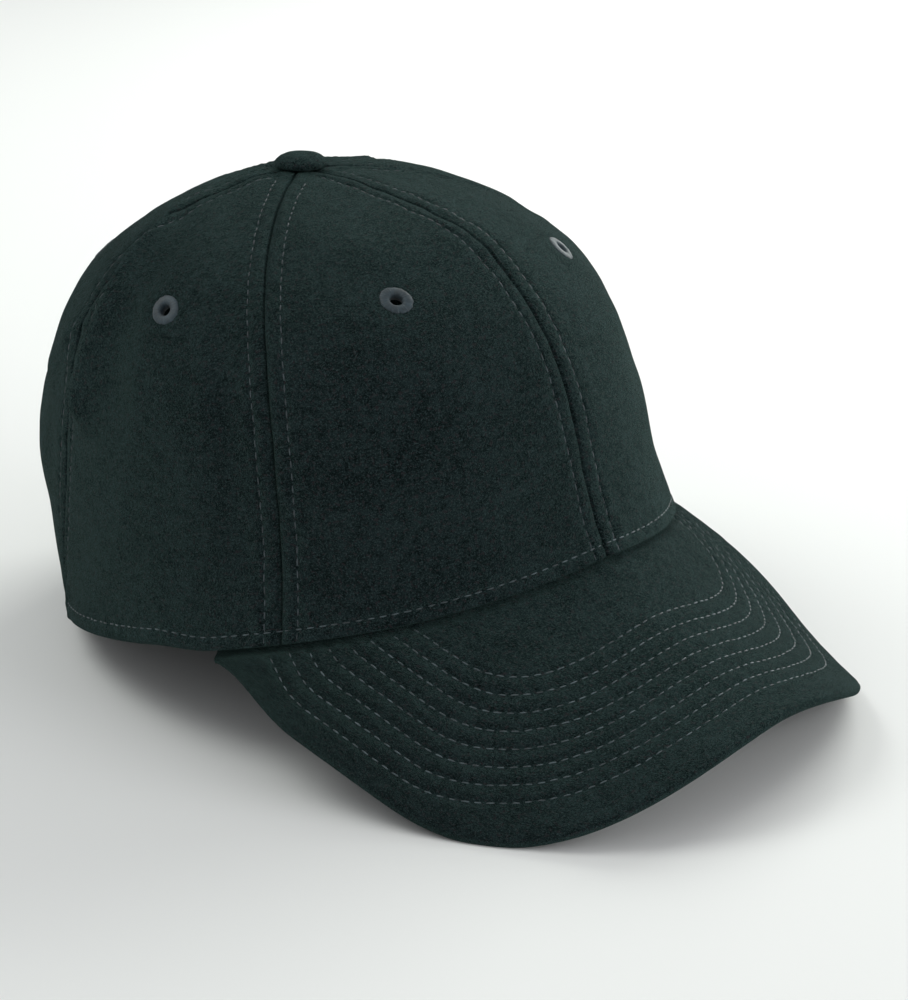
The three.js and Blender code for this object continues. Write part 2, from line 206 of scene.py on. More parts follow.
@dataclass(frozen=True)
class CrownForm:
    """The crown's sizes, and the points they give."""

    heights: tuple[float, ...] = (0, 28, 61, 92.5, 114.7, 128.6, 133.3)
    sides: tuple[float, ...] = (87.6, 83.4, 80.3, 74.5, 59, 31.6, 0)
    fronts: tuple[float, ...] = (84.4, 84, 82.9, 77.7, 67.2, 48.9, 0)
    backs: tuple[float, ...] = (99, 103.9, 100.5, 84.4, 56.5, 27.5, 0)
    top_setback: float = 31.5
    front_squareness: float = 1.84
    top_squareness: float = 1.69
    back_squareness: float = 1.93
    seam_middle: float = 0.6
    seams: tuple[Triple, ...] = (
        (0, 0, 0), (63.4, 59.9, 64.5), (133, 114, 116), (180, 180, 180),
    )
    bulge: float = 0.9
    folds: tuple[Fold, ...] = (
        Fold(121, 0.82, 108, 0.73, 5.5, 2.4),
        Fold(108, 0.73, 104, 0.6, 5.5, 2.8),
        Fold(104, 0.6, 109, 0.4, 6, 2.8),
        Fold(94, 0.74, 97, 0.44, 7, -1.5),
        Fold(110, 0.57, 132, 0.42, 5.5, 1.4),
        Fold(69, 0.72, 68, 0.2, 7, -1.2),
        Fold(150, 0.45, 166, 0.2, 14, -2.4),
        Fold(140, 0.3, 172, 0.5, 12, 1.8),
    )
    fold_girth: float = 88.0
    fold_length: float = 190.0
    relief_start: float = 0.15
    relief_end: Pair = (0.8, 0.97)
    rim_slope: float = 0.276
    rear_sink: float = 2.1
    rim_blend: float = 13.8
    peak_seat: float = 0.5

    def column(self, values: Sequence[float], level: Array) -> Array:
        """One column of the section table as a smooth curve through its rows.

        Four rows round each level are joined by a Catmull-Rom cubic. Above the top the
        table is mirrored, heights evenly and half widths oddly, to close a round dome.

        Args:
            values: The column, a value a row.
            level: The levels to look up.

        Returns:
            The column's value at each level.
        """
        sign = 1.0 if values is self.heights else -1.0
        table = np.array([2 * values[0] - values[1], *values, sign * values[-2]], float)
        last = len(values) - 1
        row = np.clip(np.floor(level * last).astype(int), 0, last - 1)
        share = level * last - row
        return catmull_rom([table[row + step] for step in range(4)], share)

    def seam_angle(self, index: int, level: Array) -> Array:
        """The angle of a seam at each level, on a parabola through its three angles."""
        rim, middle, top = self.seams[index]
        split = self.seam_middle
        low = (level - split) * (level - 1) / split
        mid = level * (1 - level) / (split * (1 - split))
        high = level * (level - split) / (1 - split)
        return rim * low + middle * mid + top * high

    def arch(self, angle: Array, level: Array) -> Array:
        """Half a sine wave across each panel, 0 at its seams and 1 in its middle."""
        turn = np.abs(wrapped(angle))
        share = np.zeros(turn.shape)
        for index in range(len(self.seams) - 1):
            low, high = self.seam_angle(index, level), self.seam_angle(index + 1, level)
            share = np.where((turn >= low) & (turn <= high), (turn - low) / (high - low), share)
        return np.sin(np.pi * share)

    def relief(self, angle: Array, level: Array) -> Array:
        """How far the felt stands out of its plain rings.

        It is an arch across each panel, less half its height, and the folds. Both die
        out at the rim and at the top.

        Args:
            angle: Angles in degrees.
            level: Levels, 0 to 1.

        Returns:
            The push outwards, in millimetres.
        """
        total = self.bulge * (self.arch(angle, level) - 0.5)
        total = total + self.folded(self.folds, angle, level)
        start, end = self.relief_start, self.relief_end
        return total * smoothstep(level, 0, start) * (1 - smoothstep(level, *end))

    def rolled_out(self, angle: Array, level: Array) -> tuple[Array, Array]:
        """A place over the crown in plain millimetres, as the folds measure it."""
        return np.radians(angle) * self.fold_girth, level * self.fold_length

    def folded(
        self, folds: Sequence[Fold], angle: Array, level: Array, power: float = 2.0
    ) -> Array:
        """The highest ridge and the deepest hollow that some folds make at a place.

        Each falls off with its distance to the fold's line as exp(-(distance / width)ᵖ).

        Args:
            folds: The folds.
            angle: Angles in degrees.
            level: Levels, 0 to 1.
            power: The exponent: 2 for a round crest, 1 for a sharp one.

        Returns:
            The push outwards, in millimetres.
        """
        place_x, place_y = self.rolled_out(np.abs(wrapped(angle)), level)
        high = low = np.zeros(place_x.shape)
        for fold in folds:
            start_x, start_y = self.rolled_out(fold.from_angle, fold.from_level)
            end_x, end_y = self.rolled_out(fold.to_angle, fold.to_level)
            run_x, run_y = end_x - start_x, end_y - start_y
            off_x, off_y = place_x - start_x, place_y - start_y
            along = np.clip((off_x * run_x + off_y * run_y) / (run_x**2 + run_y**2), 0, 1)
            distance = np.hypot(off_x - along * run_x, off_y - along * run_y)
            push = fold.push * np.exp(-((distance / fold.width) ** power))
            high, low = np.maximum(high, push), np.minimum(low, push)
        return high + low

    def ring(self, angle: Array, level: Array, inset: float = 0.0) -> tuple[Array, Array]:
        """Points of the crown seen from above.

        Each ring is a superellipse: (cos / reach)ⁿ + (sin / side)ⁿ = 1 / radiusⁿ. Its
        exponent in front changes with the square of the level.

        Args:
            angle: Angles in degrees.
            level: Levels, 0 to 1.
            inset: Distance inwards from the outer face.

        Returns:
            The x and the y of each point.
        """
        angle, level = np.broadcast_arrays(np.asarray(angle, float), np.asarray(level, float))
        cosine, sine = np.cos(np.radians(angle)), np.sin(np.radians(angle))
        ahead = cosine > 0
        reach = np.where(ahead, self.column(self.fronts, level), self.column(self.backs, level))
        gain = self.top_squareness - self.front_squareness
        ahead_power = self.front_squareness + gain * level**2
        power = np.where(ahead, ahead_power, self.back_squareness)
        side = np.maximum(self.column(self.sides, level), 0.01)
        total = np.abs(cosine / np.maximum(reach, 0.01)) ** power + np.abs(sine / side) ** power
        radius = total ** (-1.0 / power) + self.relief(angle, level) - inset
        return -radius * sine, self.top_setback * level - radius * cosine


@dataclass(frozen=True)
class PeakForm:
    """The peak's sizes, and the points they give."""

    crown: CrownForm
    corner: float = 76.0
    crown_height: float = 47.3
    fall: float = 0.719
    hollow: float = 27.5
    arch: float = 46.5
    arch_loss: float = 1.1
    arch_power: float = 1.614
    power_gain: float = 0.27
    gain_from: float = -0.3
    gain_to: float = 1.2
    span: float = 70.0
    half_width: float = 90.0
    tip: float = 143.5
    flare: float = 5.0
    squareness: float = 2.56
    thickness: float = 3.2

    def height(self, x: Array, y: Array) -> Array:
        """Height of the upper face over the plan.

        It falls forwards along a shallow hollow curve, and falls off to both sides with
        a power of the distance from the middle, which gains towards the tip.

        Args:
            x: Plan coordinate to the wearer's left.
            y: Plan coordinate to the rear.

        Returns:
            The height above the floor.
        """
        forward = -self.crown.fronts[0] - y
        share = forward / self.span
        gain = self.power_gain * np.clip(share, self.gain_from, self.gain_to)
        across = (np.abs(x) / self.half_width) ** (self.arch_power + gain)
        middle = self.crown_height - self.fall * forward + self.hollow * share * np.abs(share)
        return middle - (self.arch - self.arch_loss * share) * across

    def edge(self, share: Array) -> tuple[Array, Array]:
        """The peak's edge seen from above: half a superellipse from corner to corner.

        Args:
            share: -1 to 1 from the left corner to the right one.

        Returns:
            The x and the y of each point.
        """
        corner_x, corner_y = self.crown.ring(np.array([self.corner]), np.array([0.0]))
        half, reach = abs(corner_x[0]), self.tip + corner_y[0]
        turn = np.pi / 2 * (1 - np.abs(share))
        power = self.squareness
        total = np.abs(np.cos(turn) / half) ** power + np.abs(np.sin(turn) / reach) ** power
        radius = total ** (-1.0 / power)
        flare = 1 + self.flare / half * smoothstep(1 - np.abs(share), 0, 0.25)
        x = -np.sign(share) * radius * np.cos(turn) * flare
        return x, corner_y[0] - radius * np.sin(turn)

    def point(self, share: Array, along: Array) -> Array:
        """Points of the upper face, straight in plan from the crown's inner face to the edge."""
        share, along = np.broadcast_arrays(np.asarray(share, float), np.asarray(along, float))
        inner_x, inner_y = self.crown.ring(share * self.corner, 0 * share, FELT_WALL)
        edge_x, edge_y = self.edge(share)
        x, y = inner_x + (edge_x - inner_x) * along, inner_y + (edge_y - inner_y) * along
        return np.stack([x, y, self.height(x, y)], -1)

    def normal(self, points: Array) -> Array:
        """The upper face's normals, from its slopes over half a millimetre each way."""
        x, y, step = points[..., 0], points[..., 1], 0.5
        slope_x = (self.height(x + step, y) - self.height(x - step, y)) / (2 * step)
        slope_y = (self.height(x, y + step) - self.height(x, y - step)) / (2 * step)
        return unit(np.stack([-slope_x, -slope_y, np.ones(x.shape)], -1))


class CrownMap:
    """The crown as cloth: its plain surface, with lengths measured over it."""

    TURNS = np.linspace(-180.0, 180.0, 721)
    LEVELS = np.linspace(0.0, 1.0, 601)
    HALVINGS = 24

    def __init__(self, form: CrownForm, peak: PeakForm) -> None:
        """Measures the crown on a fine grid of angles and levels."""
        self.form = form
        self.peak = peak
        angle, level = np.meshgrid(self.TURNS, self.LEVELS, indexing="ij")
        grid = self.point(angle, level)
        self.lengths = running_length(grid, 1)
        girth = running_length(grid, 0)
        self.girths = girth - girth[len(self.TURNS) // 2]

    def rim_height(self, x: Array, y: Array, angle: Array) -> Array:
        """Height of the crown's lower edge: on the peak in front, on the floor behind."""
        form, corner = self.form, self.peak.corner
        on_peak = 1 - smoothstep(np.abs(wrapped(angle)), corner, corner + form.rim_blend)
        rear = np.maximum(0, form.rim_slope * (form.backs[0] - y) - form.rear_sink)
        return (1 - on_peak) * rear + on_peak * (self.peak.height(x, y) + form.peak_seat)

    def point(self, angle: Array, level: Array) -> Array:
        """Points of the plain outer face.

        A ring's height is its row's height plus the rim's, which dies out upwards with
        the square of one less the level.

        Args:
            angle: Angles in degrees.
            level: Levels, 0 to 1.

        Returns:
            The points, in millimetres.
        """
        angle, level = np.broadcast_arrays(np.asarray(angle, float), np.asarray(level, float))
        x, y = self.form.ring(angle, level)
        rim_x, rim_y = self.form.ring(angle, np.zeros(level.shape))
        rise = (1 - level) ** 2 * self.rim_height(rim_x, rim_y, angle)
        return np.stack([x, y, self.form.column(self.form.heights, level) + rise], -1)

    def normal(self, angle: Array, level: Array) -> Array:
        """Outward normals: the way up crossed with the way round, over short steps."""
        turn, step = 0.5, 0.004
        round_way = self.point(angle + turn, level) - self.point(angle - turn, level)
        high, low = np.minimum(level + step, 1.0), np.maximum(level - step, 0.0)
        return unit(np.cross(self.point(angle, high) - self.point(angle, low), round_way))

    def column(self, angle: Array) -> tuple[Array, Array]:
        """The tables' column before each angle, and the share of the way to the next."""
        column = (angle + 180.0) / 360.0 * (len(self.TURNS) - 1)
        left = np.clip(column.astype(int), 0, len(self.TURNS) - 2)
        return left, column - left

    def look_up(self, table: Array, angle: Array, level: Array) -> Array:
        """A table's value at each place, straight between its four nearest entries."""
        left, u = self.column(angle)
        row = level * (len(self.LEVELS) - 1)
        low = np.clip(row.astype(int), 0, len(self.LEVELS) - 2)
        v = row - low
        near = table[left, low] * (1 - v) + table[left, low + 1] * v
        far = table[left + 1, low] * (1 - v) + table[left + 1, low + 1] * v
        return near * (1 - u) + far * u

    def length(self, angle: Array, level: Array) -> Array:
        """Distance over the felt from the rim up to each place."""
        return self.look_up(self.lengths, angle, level)

    def girth(self, angle: Array, level: Array) -> Array:
        """Distance over the felt from the front middle round to each place."""
        return self.look_up(self.girths, angle, level)

    def level_at(self, angle: Array, length: Array) -> Array:
        """The level at each length over the felt from the rim, by counting the shorter ones.

        Args:
            angle: One angle for each length.
            length: The lengths.

        Returns:
            The levels.
        """
        left, share = self.column(angle)
        share = share[:, None]
        line = self.lengths[left] * (1 - share) + self.lengths[left + 1] * share
        below = np.clip((line < length[:, None]).sum(1) - 1, 0, len(self.LEVELS) - 2)[:, None]
        low = np.take_along_axis(line, below, 1)[:, 0]
        high = np.take_along_axis(line, below + 1, 1)[:, 0]
        return (below[:, 0] + (length - low) / (high - low)) / (len(self.LEVELS) - 1)

    def rates(self, angle: Array, level: Array) -> tuple[Array, Array]:
        """Millimetres of girth for a degree and of length for a whole level."""
        step = 0.004
        girth = (self.girth(angle + 1, level) - self.girth(angle - 1, level)) / 2
        rise = self.length(angle, level + step) - self.length(angle, level - step)
        return girth, rise / (2 * step)

    def level_near_top(self, angle: Array, radius: float) -> Array:
        """The level at which the crown comes within a radius of its top, by halving."""
        low, high = np.full(angle.shape, 0.8), np.ones(angle.shape)
        for _ in range(self.HALVINGS):
            middle = (low + high) / 2
            x, y = self.form.ring(angle, middle)
            outside = np.hypot(x, y - self.form.top_setback) > radius
            low, high = np.where(outside, middle, low), np.where(outside, high, middle)
        return low


class EyeletPlace(Enum):
    """The panels of a side, from the front, with where the eyelet of each one sits."""

    FRONT = (29.0, 0.634)
    SIDE = (85.0, 0.597)
    BACK = (149.0, 0.600)

    def __init__(self, angle: float, level: float) -> None:
        """Keeps the panel's name, the eyelet's angle on the right side and its level."""
        self.label = self.name.lower()
        self.angle = angle
        self.level = level

    def on(self, side: Side) -> tuple[Array, Array]:
        """The eyelet's angle and level on a side, as arrays of one value."""
        return np.array([side.sign * self.angle]), np.array([self.level])


@dataclass(frozen=True)
class SeamDress:
    """What sewing does to the felt: each swell lies beside a seam, the rim or an eyelet."""

    crown: CrownMap
    groove: Swell = Swell(-0.8, 0.0, 0.36)
    roll: Swell = Swell(-0.32, 0.0, 1.3)
    shoulder: Swell = Swell(0.14, 2.6, 1.5)
    far_shoulder: Swell = Swell(0.084, SEAM_ROW + 3.2, 2.2)
    seam_dip: Swell = Swell(-0.34, SEAM_ROW, 0.7)
    hem_dip: Swell = Swell(-0.306, HEM_ROW, 0.7)
    hem_swell: Swell = Swell(0.1, HEM_ROW + 3.0, 2.2)
    eyelet_swell: Swell = Swell(0.10, 6.6, 2.0)
    eyelet_dip: Swell = Swell(-0.22, 3.2, 1.6)
    seam_pull: Swell = Swell(1.0, SEAM_ROW - 1.0, 5.0)
    hem_pull: Swell = Swell(1.0, HEM_ROW, 5.0)
    pucker: Waves = Waves(0.16, 8.5, 3)
    long_waves: Waves = Waves(0.22, 34, 5)
    short_waves: Waves = Waves(0.07, 11, 7)
    allowance: float = 0.8
    allowance_end: float = 6.6
    hem: float = 0.2
    hem_slope: Pair = (HEM_ROW - 1.5, HEM_ROW + 0.5)
    hem_turn: float = 11.0
    cut_waves: Waves = Waves(0.35, 16, 11)
    cut_slopes: Pair = (0.5, 0.6)
    inside_seam_dip: Swell = Swell(-0.4, SEAM_ROW, 0.8)
    inside_hem_dip: Swell = Swell(-0.4, HEM_ROW, 0.8)
    inside_groove: Swell = Swell(-0.7, 0.0, 0.7)
    inside_waves: Waves = Waves(0.1, 13, 13)
    creases: tuple[Fold, ...] = (
        Fold(116, 0.785, 108, 0.73, 3.0, 1.1),
        Fold(108, 0.73, 104, 0.6, 3.0, 1.3),
        Fold(104, 0.6, 109, 0.4, 3.5, 1.2),
        Fold(74, 0.66, 73, 0.38, 6.0, 0.6),
        Fold(88, 0.45, 96, 0.24, 7.0, 0.6),
    )

    def seam_distance(self, angle: Array, level: Array) -> Array:
        """Distance over the felt to the nearest seam."""
        turn = np.abs(angle)
        here = self.crown.girth(turn, level)
        seams = [self.crown.form.seam_angle(k, level) for k in range(len(self.crown.form.seams))]
        gaps = [np.abs(here - self.crown.girth(seam + 0 * turn, level)) for seam in seams]
        return np.minimum.reduce(gaps)

    def eyelet_distance(self, angle: Array, level: Array) -> Array:
        """Distance over the felt to the middle of the nearest eyelet."""
        turn = np.abs(angle)
        here, rise = self.crown.girth(turn, level), self.crown.length(turn, level)
        gaps = []
        for place in EyeletPlace:
            across = here - self.crown.girth(np.full(turn.shape, place.angle), level)
            high = self.crown.length(np.array([place.angle]), np.array([place.level]))
            gaps.append(np.hypot(across, rise - high))
        return np.minimum.reduce(gaps)

    def outside(self, angle: Array, level: Array) -> Array:
        """How far the outer face stands out of the plain surface.

        The felt rolls into a groove at each seam between two soft shoulders, and each
        row of stitches pulls it down into a narrow dip, and an eyelet draws it in. Uneven
        waves and a few creases, which sharpen or fill the folds, lie over it all.

        Args:
            angle: Angles in degrees.
            level: Levels, 0 to 1.

        Returns:
            The push outwards, in millimetres.
        """
        seam = self.seam_distance(angle, level)
        rise = self.crown.length(angle, level)
        girth = self.crown.girth(angle, level)
        eyelet = self.eyelet_distance(angle, level)
        beside = (
            (seam, (self.groove, self.roll, self.shoulder, self.far_shoulder, self.seam_dip)),
            (rise, (self.hem_dip, self.hem_swell)),
            (eyelet, (self.eyelet_swell, self.eyelet_dip)),
        )
        push = sum(swell.over(distance) for distance, swells in beside for swell in swells)
        push += self.hem * (1 - smoothstep(rise, *self.hem_slope))
        pull = np.minimum(self.seam_pull.over(seam) + self.hem_pull.over(rise), 1)
        push += pull * self.pucker.over(girth, rise)
        push += self.long_waves.over(girth, rise) + self.short_waves.over(girth, rise)
        return push + self.crown.form.folded(self.creases, angle, level, 1.0)

    def inside(self, angle: Array, level: Array) -> Array:
        """How far the inner face stands inwards of the plain wall: allowances and hem."""
        seam = self.seam_distance(angle, level)
        rise = self.crown.length(angle, level)
        girth = self.crown.girth(angle, level)
        wander = self.cut_waves.over(girth, rise)
        seam_slope, hem_slope = self.cut_slopes
        flat = 1 - smoothstep(seam + wander, self.allowance_end - seam_slope, self.allowance_end)
        turned = 1 - smoothstep(rise + wander, self.hem_turn - hem_slope, self.hem_turn)
        push = self.allowance * np.maximum(flat, turned)
        push += self.inside_seam_dip.over(seam) + self.inside_hem_dip.over(rise)
        push += self.inside_groove.over(seam)
        return push + self.inside_waves.over(girth, rise)

    def outer_point(self, angle: Array, level: Array) -> tuple[Array, Array]:
        """Points of the dressed outer face, and their normals."""
        normal = self.crown.normal(angle, level)
        push = self.outside(angle, level)[..., None]
        return self.crown.point(angle, level) + normal * push, normal

    def inner_point(self, angle: Array, level: Array) -> tuple[Array, Array]:
        """Points of the dressed inner face, and their normals into the hollow."""
        normal = self.crown.normal(angle, level)
        push = FELT_WALL + self.inside(angle, level)[..., None]
        return self.crown.point(angle, level) - normal * push, -normal


class Fabricator:
    """Turns grids of points in millimetres into finished mesh objects in the frame."""

    def __init__(self, crown: CrownForm) -> None:
        """Finds the cap's place in the frame from its button, which marks the top."""
        low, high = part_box("button")
        self.shift = np.array([0.0, (low.y + high.y) / 2 - crown.top_setback * MM, 0.0])

    def to_frame(self, points: Array) -> Array:
        """Points in millimetres about the crown's middle, in metres in the frame."""
        return np.asarray(points, float) * MM + self.shift

    def mesh(
        self,
        name: str,
        points: Array,
        faces: Array,
        uv: Array | None = None,
    ) -> bpy.types.Object:
        """Makes a smooth-shaded object.

        Args:
            name: The object's name.
            points: One point a row, in millimetres.
            faces: Four indices a row. A repeated last index makes a triangle.
            uv: One pair a point, in millimetres over the cloth.

        Returns:
            The new object, at the origin.
        """
        used, flat = np.unique(faces, return_inverse=True)
        faces = flat.reshape(-1, 4).astype(np.int32)
        points = np.asarray(points, float)[used]
        if self.volume(points, faces) < 0:
            faces = faces[:, [1, 0, 3, 2]]
        sizes = np.where(faces[:, 3] == faces[:, 2], 3, 4)
        corners = faces[np.arange(4)[None, :] < sizes[:, None]]
        starts = np.concatenate([[0], np.cumsum(sizes)[:-1]]).astype(np.int32)
        data = bpy.data.meshes.new(name)
        data.vertices.add(len(points))
        data.vertices.foreach_set("co", self.to_frame(points).astype(np.float32).ravel())
        data.loops.add(len(corners))
        data.loops.foreach_set("vertex_index", corners)
        data.polygons.add(len(faces))
        data.polygons.foreach_set("loop_start", starts)
        data.polygons.foreach_set("use_smooth", np.ones(len(faces), bool))
        if uv is not None:
            layer = data.uv_layers.new(name="UVMap")
            layer.data.foreach_set("uv", np.asarray(uv, np.float32)[used][corners].ravel())
        data.update(calc_edges=True)
        data.validate()
        piece = bpy.data.objects.new(name, data)
        bpy.context.scene.collection.objects.link(piece)
        return piece

    @staticmethod
    def volume(points: Array, faces: Array) -> float:
        """A closed mesh's volume, negative where its faces point inwards."""
        a, b, c, d = (points[faces[:, k]] for k in range(4))
        halves = np.cross(a, b) * c + np.cross(a, c) * d
        return float(halves.sum() / 6)

    @staticmethod
    def grid_faces(columns: int, rows: int, wrap: bool = False, loop: bool = False) -> Array:
        """Quads over a grid whose points are numbered row by row within each column.

        Args:
            columns: Points in the first direction.
            rows: Points in the second.
            wrap: Whether the last column joins the first.
            loop: Whether the last row joins the first.

        Returns:
            Four indices a face, turning with the second direction first.
        """
        starts = np.arange(columns if wrap else columns - 1)
        ends = np.arange(rows if loop else rows - 1)
        column, row = np.meshgrid(starts, ends, indexing="ij")
        right, up = (column + 1) % columns, (row + 1) % rows
        corners = (column, row), (column, up), (right, up), (right, row)
        return np.stack([(c * rows + r).ravel() for c, r in corners], -1)

    @classmethod
    def tube_faces(cls, columns: int, rows: int) -> Array:
        """Faces of a closed body: columns round it, rows along it, a last point at each end.

        Args:
            columns: Points round the body.
            rows: Rings of points. The two poles are numbered after all of them.

        Returns:
            Four indices a face, the last one repeated for the triangles at the poles.
        """
        here = np.arange(columns) * rows
        there = np.roll(here, -1)
        first, last = np.full(columns, columns * rows), np.full(columns, columns * rows + 1)
        start = np.stack([first, here, there, there], -1)
        end = np.stack([last, there + rows - 1, here + rows - 1, here + rows - 1], -1)
        return np.concatenate([cls.grid_faces(columns, rows, True), start, end])

    @classmethod
    def folded_faces(cls, columns: int, rows: int) -> Array:
        """Faces of a closed sheet: out along one face, round a hem, back along the other.

        Row k lies opposite row rows - 1 - k, so both side edges and the far edge are
        closed by strips between opposite rows.

        Args:
            columns: Points across the sheet.
            rows: Points out and back, an even number.

        Returns:
            Four indices a face.
        """
        half = np.arange(rows // 2 - 1)
        opposite = rows - 1 - half
        strip = np.stack([half, half + 1, opposite - 1, opposite], -1)
        last = (columns - 1) * rows
        cross = np.arange(columns - 1) * rows
        far = np.stack([cross, cross + rows, cross + 2 * rows - 1, cross + rows - 1], -1)
        return np.concatenate([
            cls.grid_faces(columns, rows),
            strip[:, ::-1],
            strip + last,
            far,
        ])


def hem_round(outer: Array, inner: Array, down: Array, steps: int) -> Array:
    """A round edge between two rows of points.

    It is half an ellipse: the middle of each pair, plus the cosine of the turn times
    half their distance, plus the sine of the turn times the way down.

    Args:
        outer: The row it leaves.
        inner: The row it reaches.
        down: The ellipse's other half axis at each pair.
        steps: How many rows to make between them.

    Returns:
        The new rows, in the grid's second axis.
    """
    turn = (np.arange(1, steps + 1) / (steps + 1) * np.pi)[None, :, None]
    middle, half = (outer + inner)[:, None] / 2, (outer - inner)[:, None] / 2
    return middle + half * np.cos(turn) + down[:, None] * np.sin(turn)


class Wire:
    """A socket whose operators add Math nodes, so that shader maths reads as maths."""

    def __init__(self, graph: "ShaderGraph", socket: bpy.types.NodeSocket) -> None:
        """Wraps a socket of a graph."""
        self.graph = graph
        self.socket = socket

    def _math(self, operation: str, *values: Any) -> "Wire":
        """A Math node over this wire and other values."""
        node = self.graph.node("ShaderNodeMath", {"operation": operation}, *values)
        return Wire(self.graph, node.outputs[0])

    def __add__(self, other: Any) -> "Wire":
        """This plus another."""
        return self._math("ADD", self, other)

    def __sub__(self, other: Any) -> "Wire":
        """This less another."""
        return self._math("SUBTRACT", self, other)

    def __rsub__(self, other: Any) -> "Wire":
        """Another less this."""
        return self._math("SUBTRACT", other, self)

    def __mul__(self, other: Any) -> "Wire":
        """This times another."""
        return self._math("MULTIPLY", self, other)

    def distance(self, other: float) -> "Wire":
        """The absolute difference from a number."""
        return self._math("ABSOLUTE", self - other)

    def rise(self, low: float, high: float) -> "Wire":
        """A smooth rise from 0 at low to 1 at high."""
        settings = {"interpolation_type": "SMOOTHSTEP"}
        node = self.graph.node("ShaderNodeMapRange", settings, self, low, high, 0.0, 1.0)
        return Wire(self.graph, node.outputs[0])


class ShaderGraph:
    """A material's node tree, built by one method."""

    def __init__(self, name: str) -> None:
        """Starts a material with only its output."""
        self.material = bpy.data.materials.new(name)
        self.material.use_nodes = True
        self.tree = self.material.node_tree
        self.tree.nodes.clear()
        self.output = self.tree.nodes.new("ShaderNodeOutputMaterial")

    def node(self, kind: str, settings: dict[str, Any], *values: Any, **named: Any) -> Any:
        """Adds a node.

        Args:
            kind: The node's type.
            settings: Its properties, set before its sockets.
            *values: Values or wires of its sockets in order. None leaves one alone.
            **named: Values or wires by socket name, with _ for a space.

        Returns:
            The node.
        """
        node = self.tree.nodes.new(kind)
        for key, value in settings.items():
            setattr(node, key, value)
        sockets = list(zip(node.inputs, values))
        sockets += [(node.inputs[key.replace("_", " ")], value) for key, value in named.items()]
        for socket, value in sockets:
            if isinstance(value, Wire):
                self.tree.links.new(value.socket, socket)
            elif value is not None:
                socket.default_value = value
        return node

    def wire(self, node: Any, output: str | int = 0) -> Wire:
        """One of a node's outputs as a wire."""
        return Wire(self, node.outputs[output])

    def noise(self, place: Wire, scale: float, detail: float = 2.0, rough: float = 0.5) -> Wire:
        """Noise over a place, as a value of about 0 to 1."""
        node = self.node(
            "ShaderNodeTexNoise", {}, Vector=place, Scale=scale, Detail=detail, Roughness=rough
        )
        return self.wire(node, 0)

    def turned(self, place: Wire, angle: float, stretch: Triple) -> Wire:
        """A place turned about Z by degrees and stretched."""
        turn = (0.0, 0.0, float(np.radians(angle)))
        settings = {"vector_type": "TEXTURE"}
        return self.wire(self.node("ShaderNodeMapping", settings, place, None, turn, stretch))

    def blend(self, share: Wire, first: Any, second: Any) -> Wire:
        """Two colours mixed by a share."""
        node = self.node("ShaderNodeMix", {"data_type": "RGBA"})
        self.tree.links.new(share.socket, node.inputs[0])
        for socket, value in ((node.inputs[6], first), (node.inputs[7], second)):
            if isinstance(value, Wire):
                self.tree.links.new(value.socket, socket)
            else:
                socket.default_value = (*value, 1.0)
        return self.wire(node, 2)

    def bump(self, strength: float, distance: float, height: Wire) -> Wire:
        """Normals raised by a height."""
        node = self.node(
            "ShaderNodeBump", {}, Strength=strength, Distance=distance, Height=height
        )
        return self.wire(node)

    def finish(self, **sockets: Any) -> bpy.types.Material:
        """Joins a Principled shader with these sockets to the output."""
        shader = self.node("ShaderNodeBsdfPrincipled", {}, **sockets)
        self.tree.links.new(shader.outputs[0], self.output.inputs[0])
        return self.material


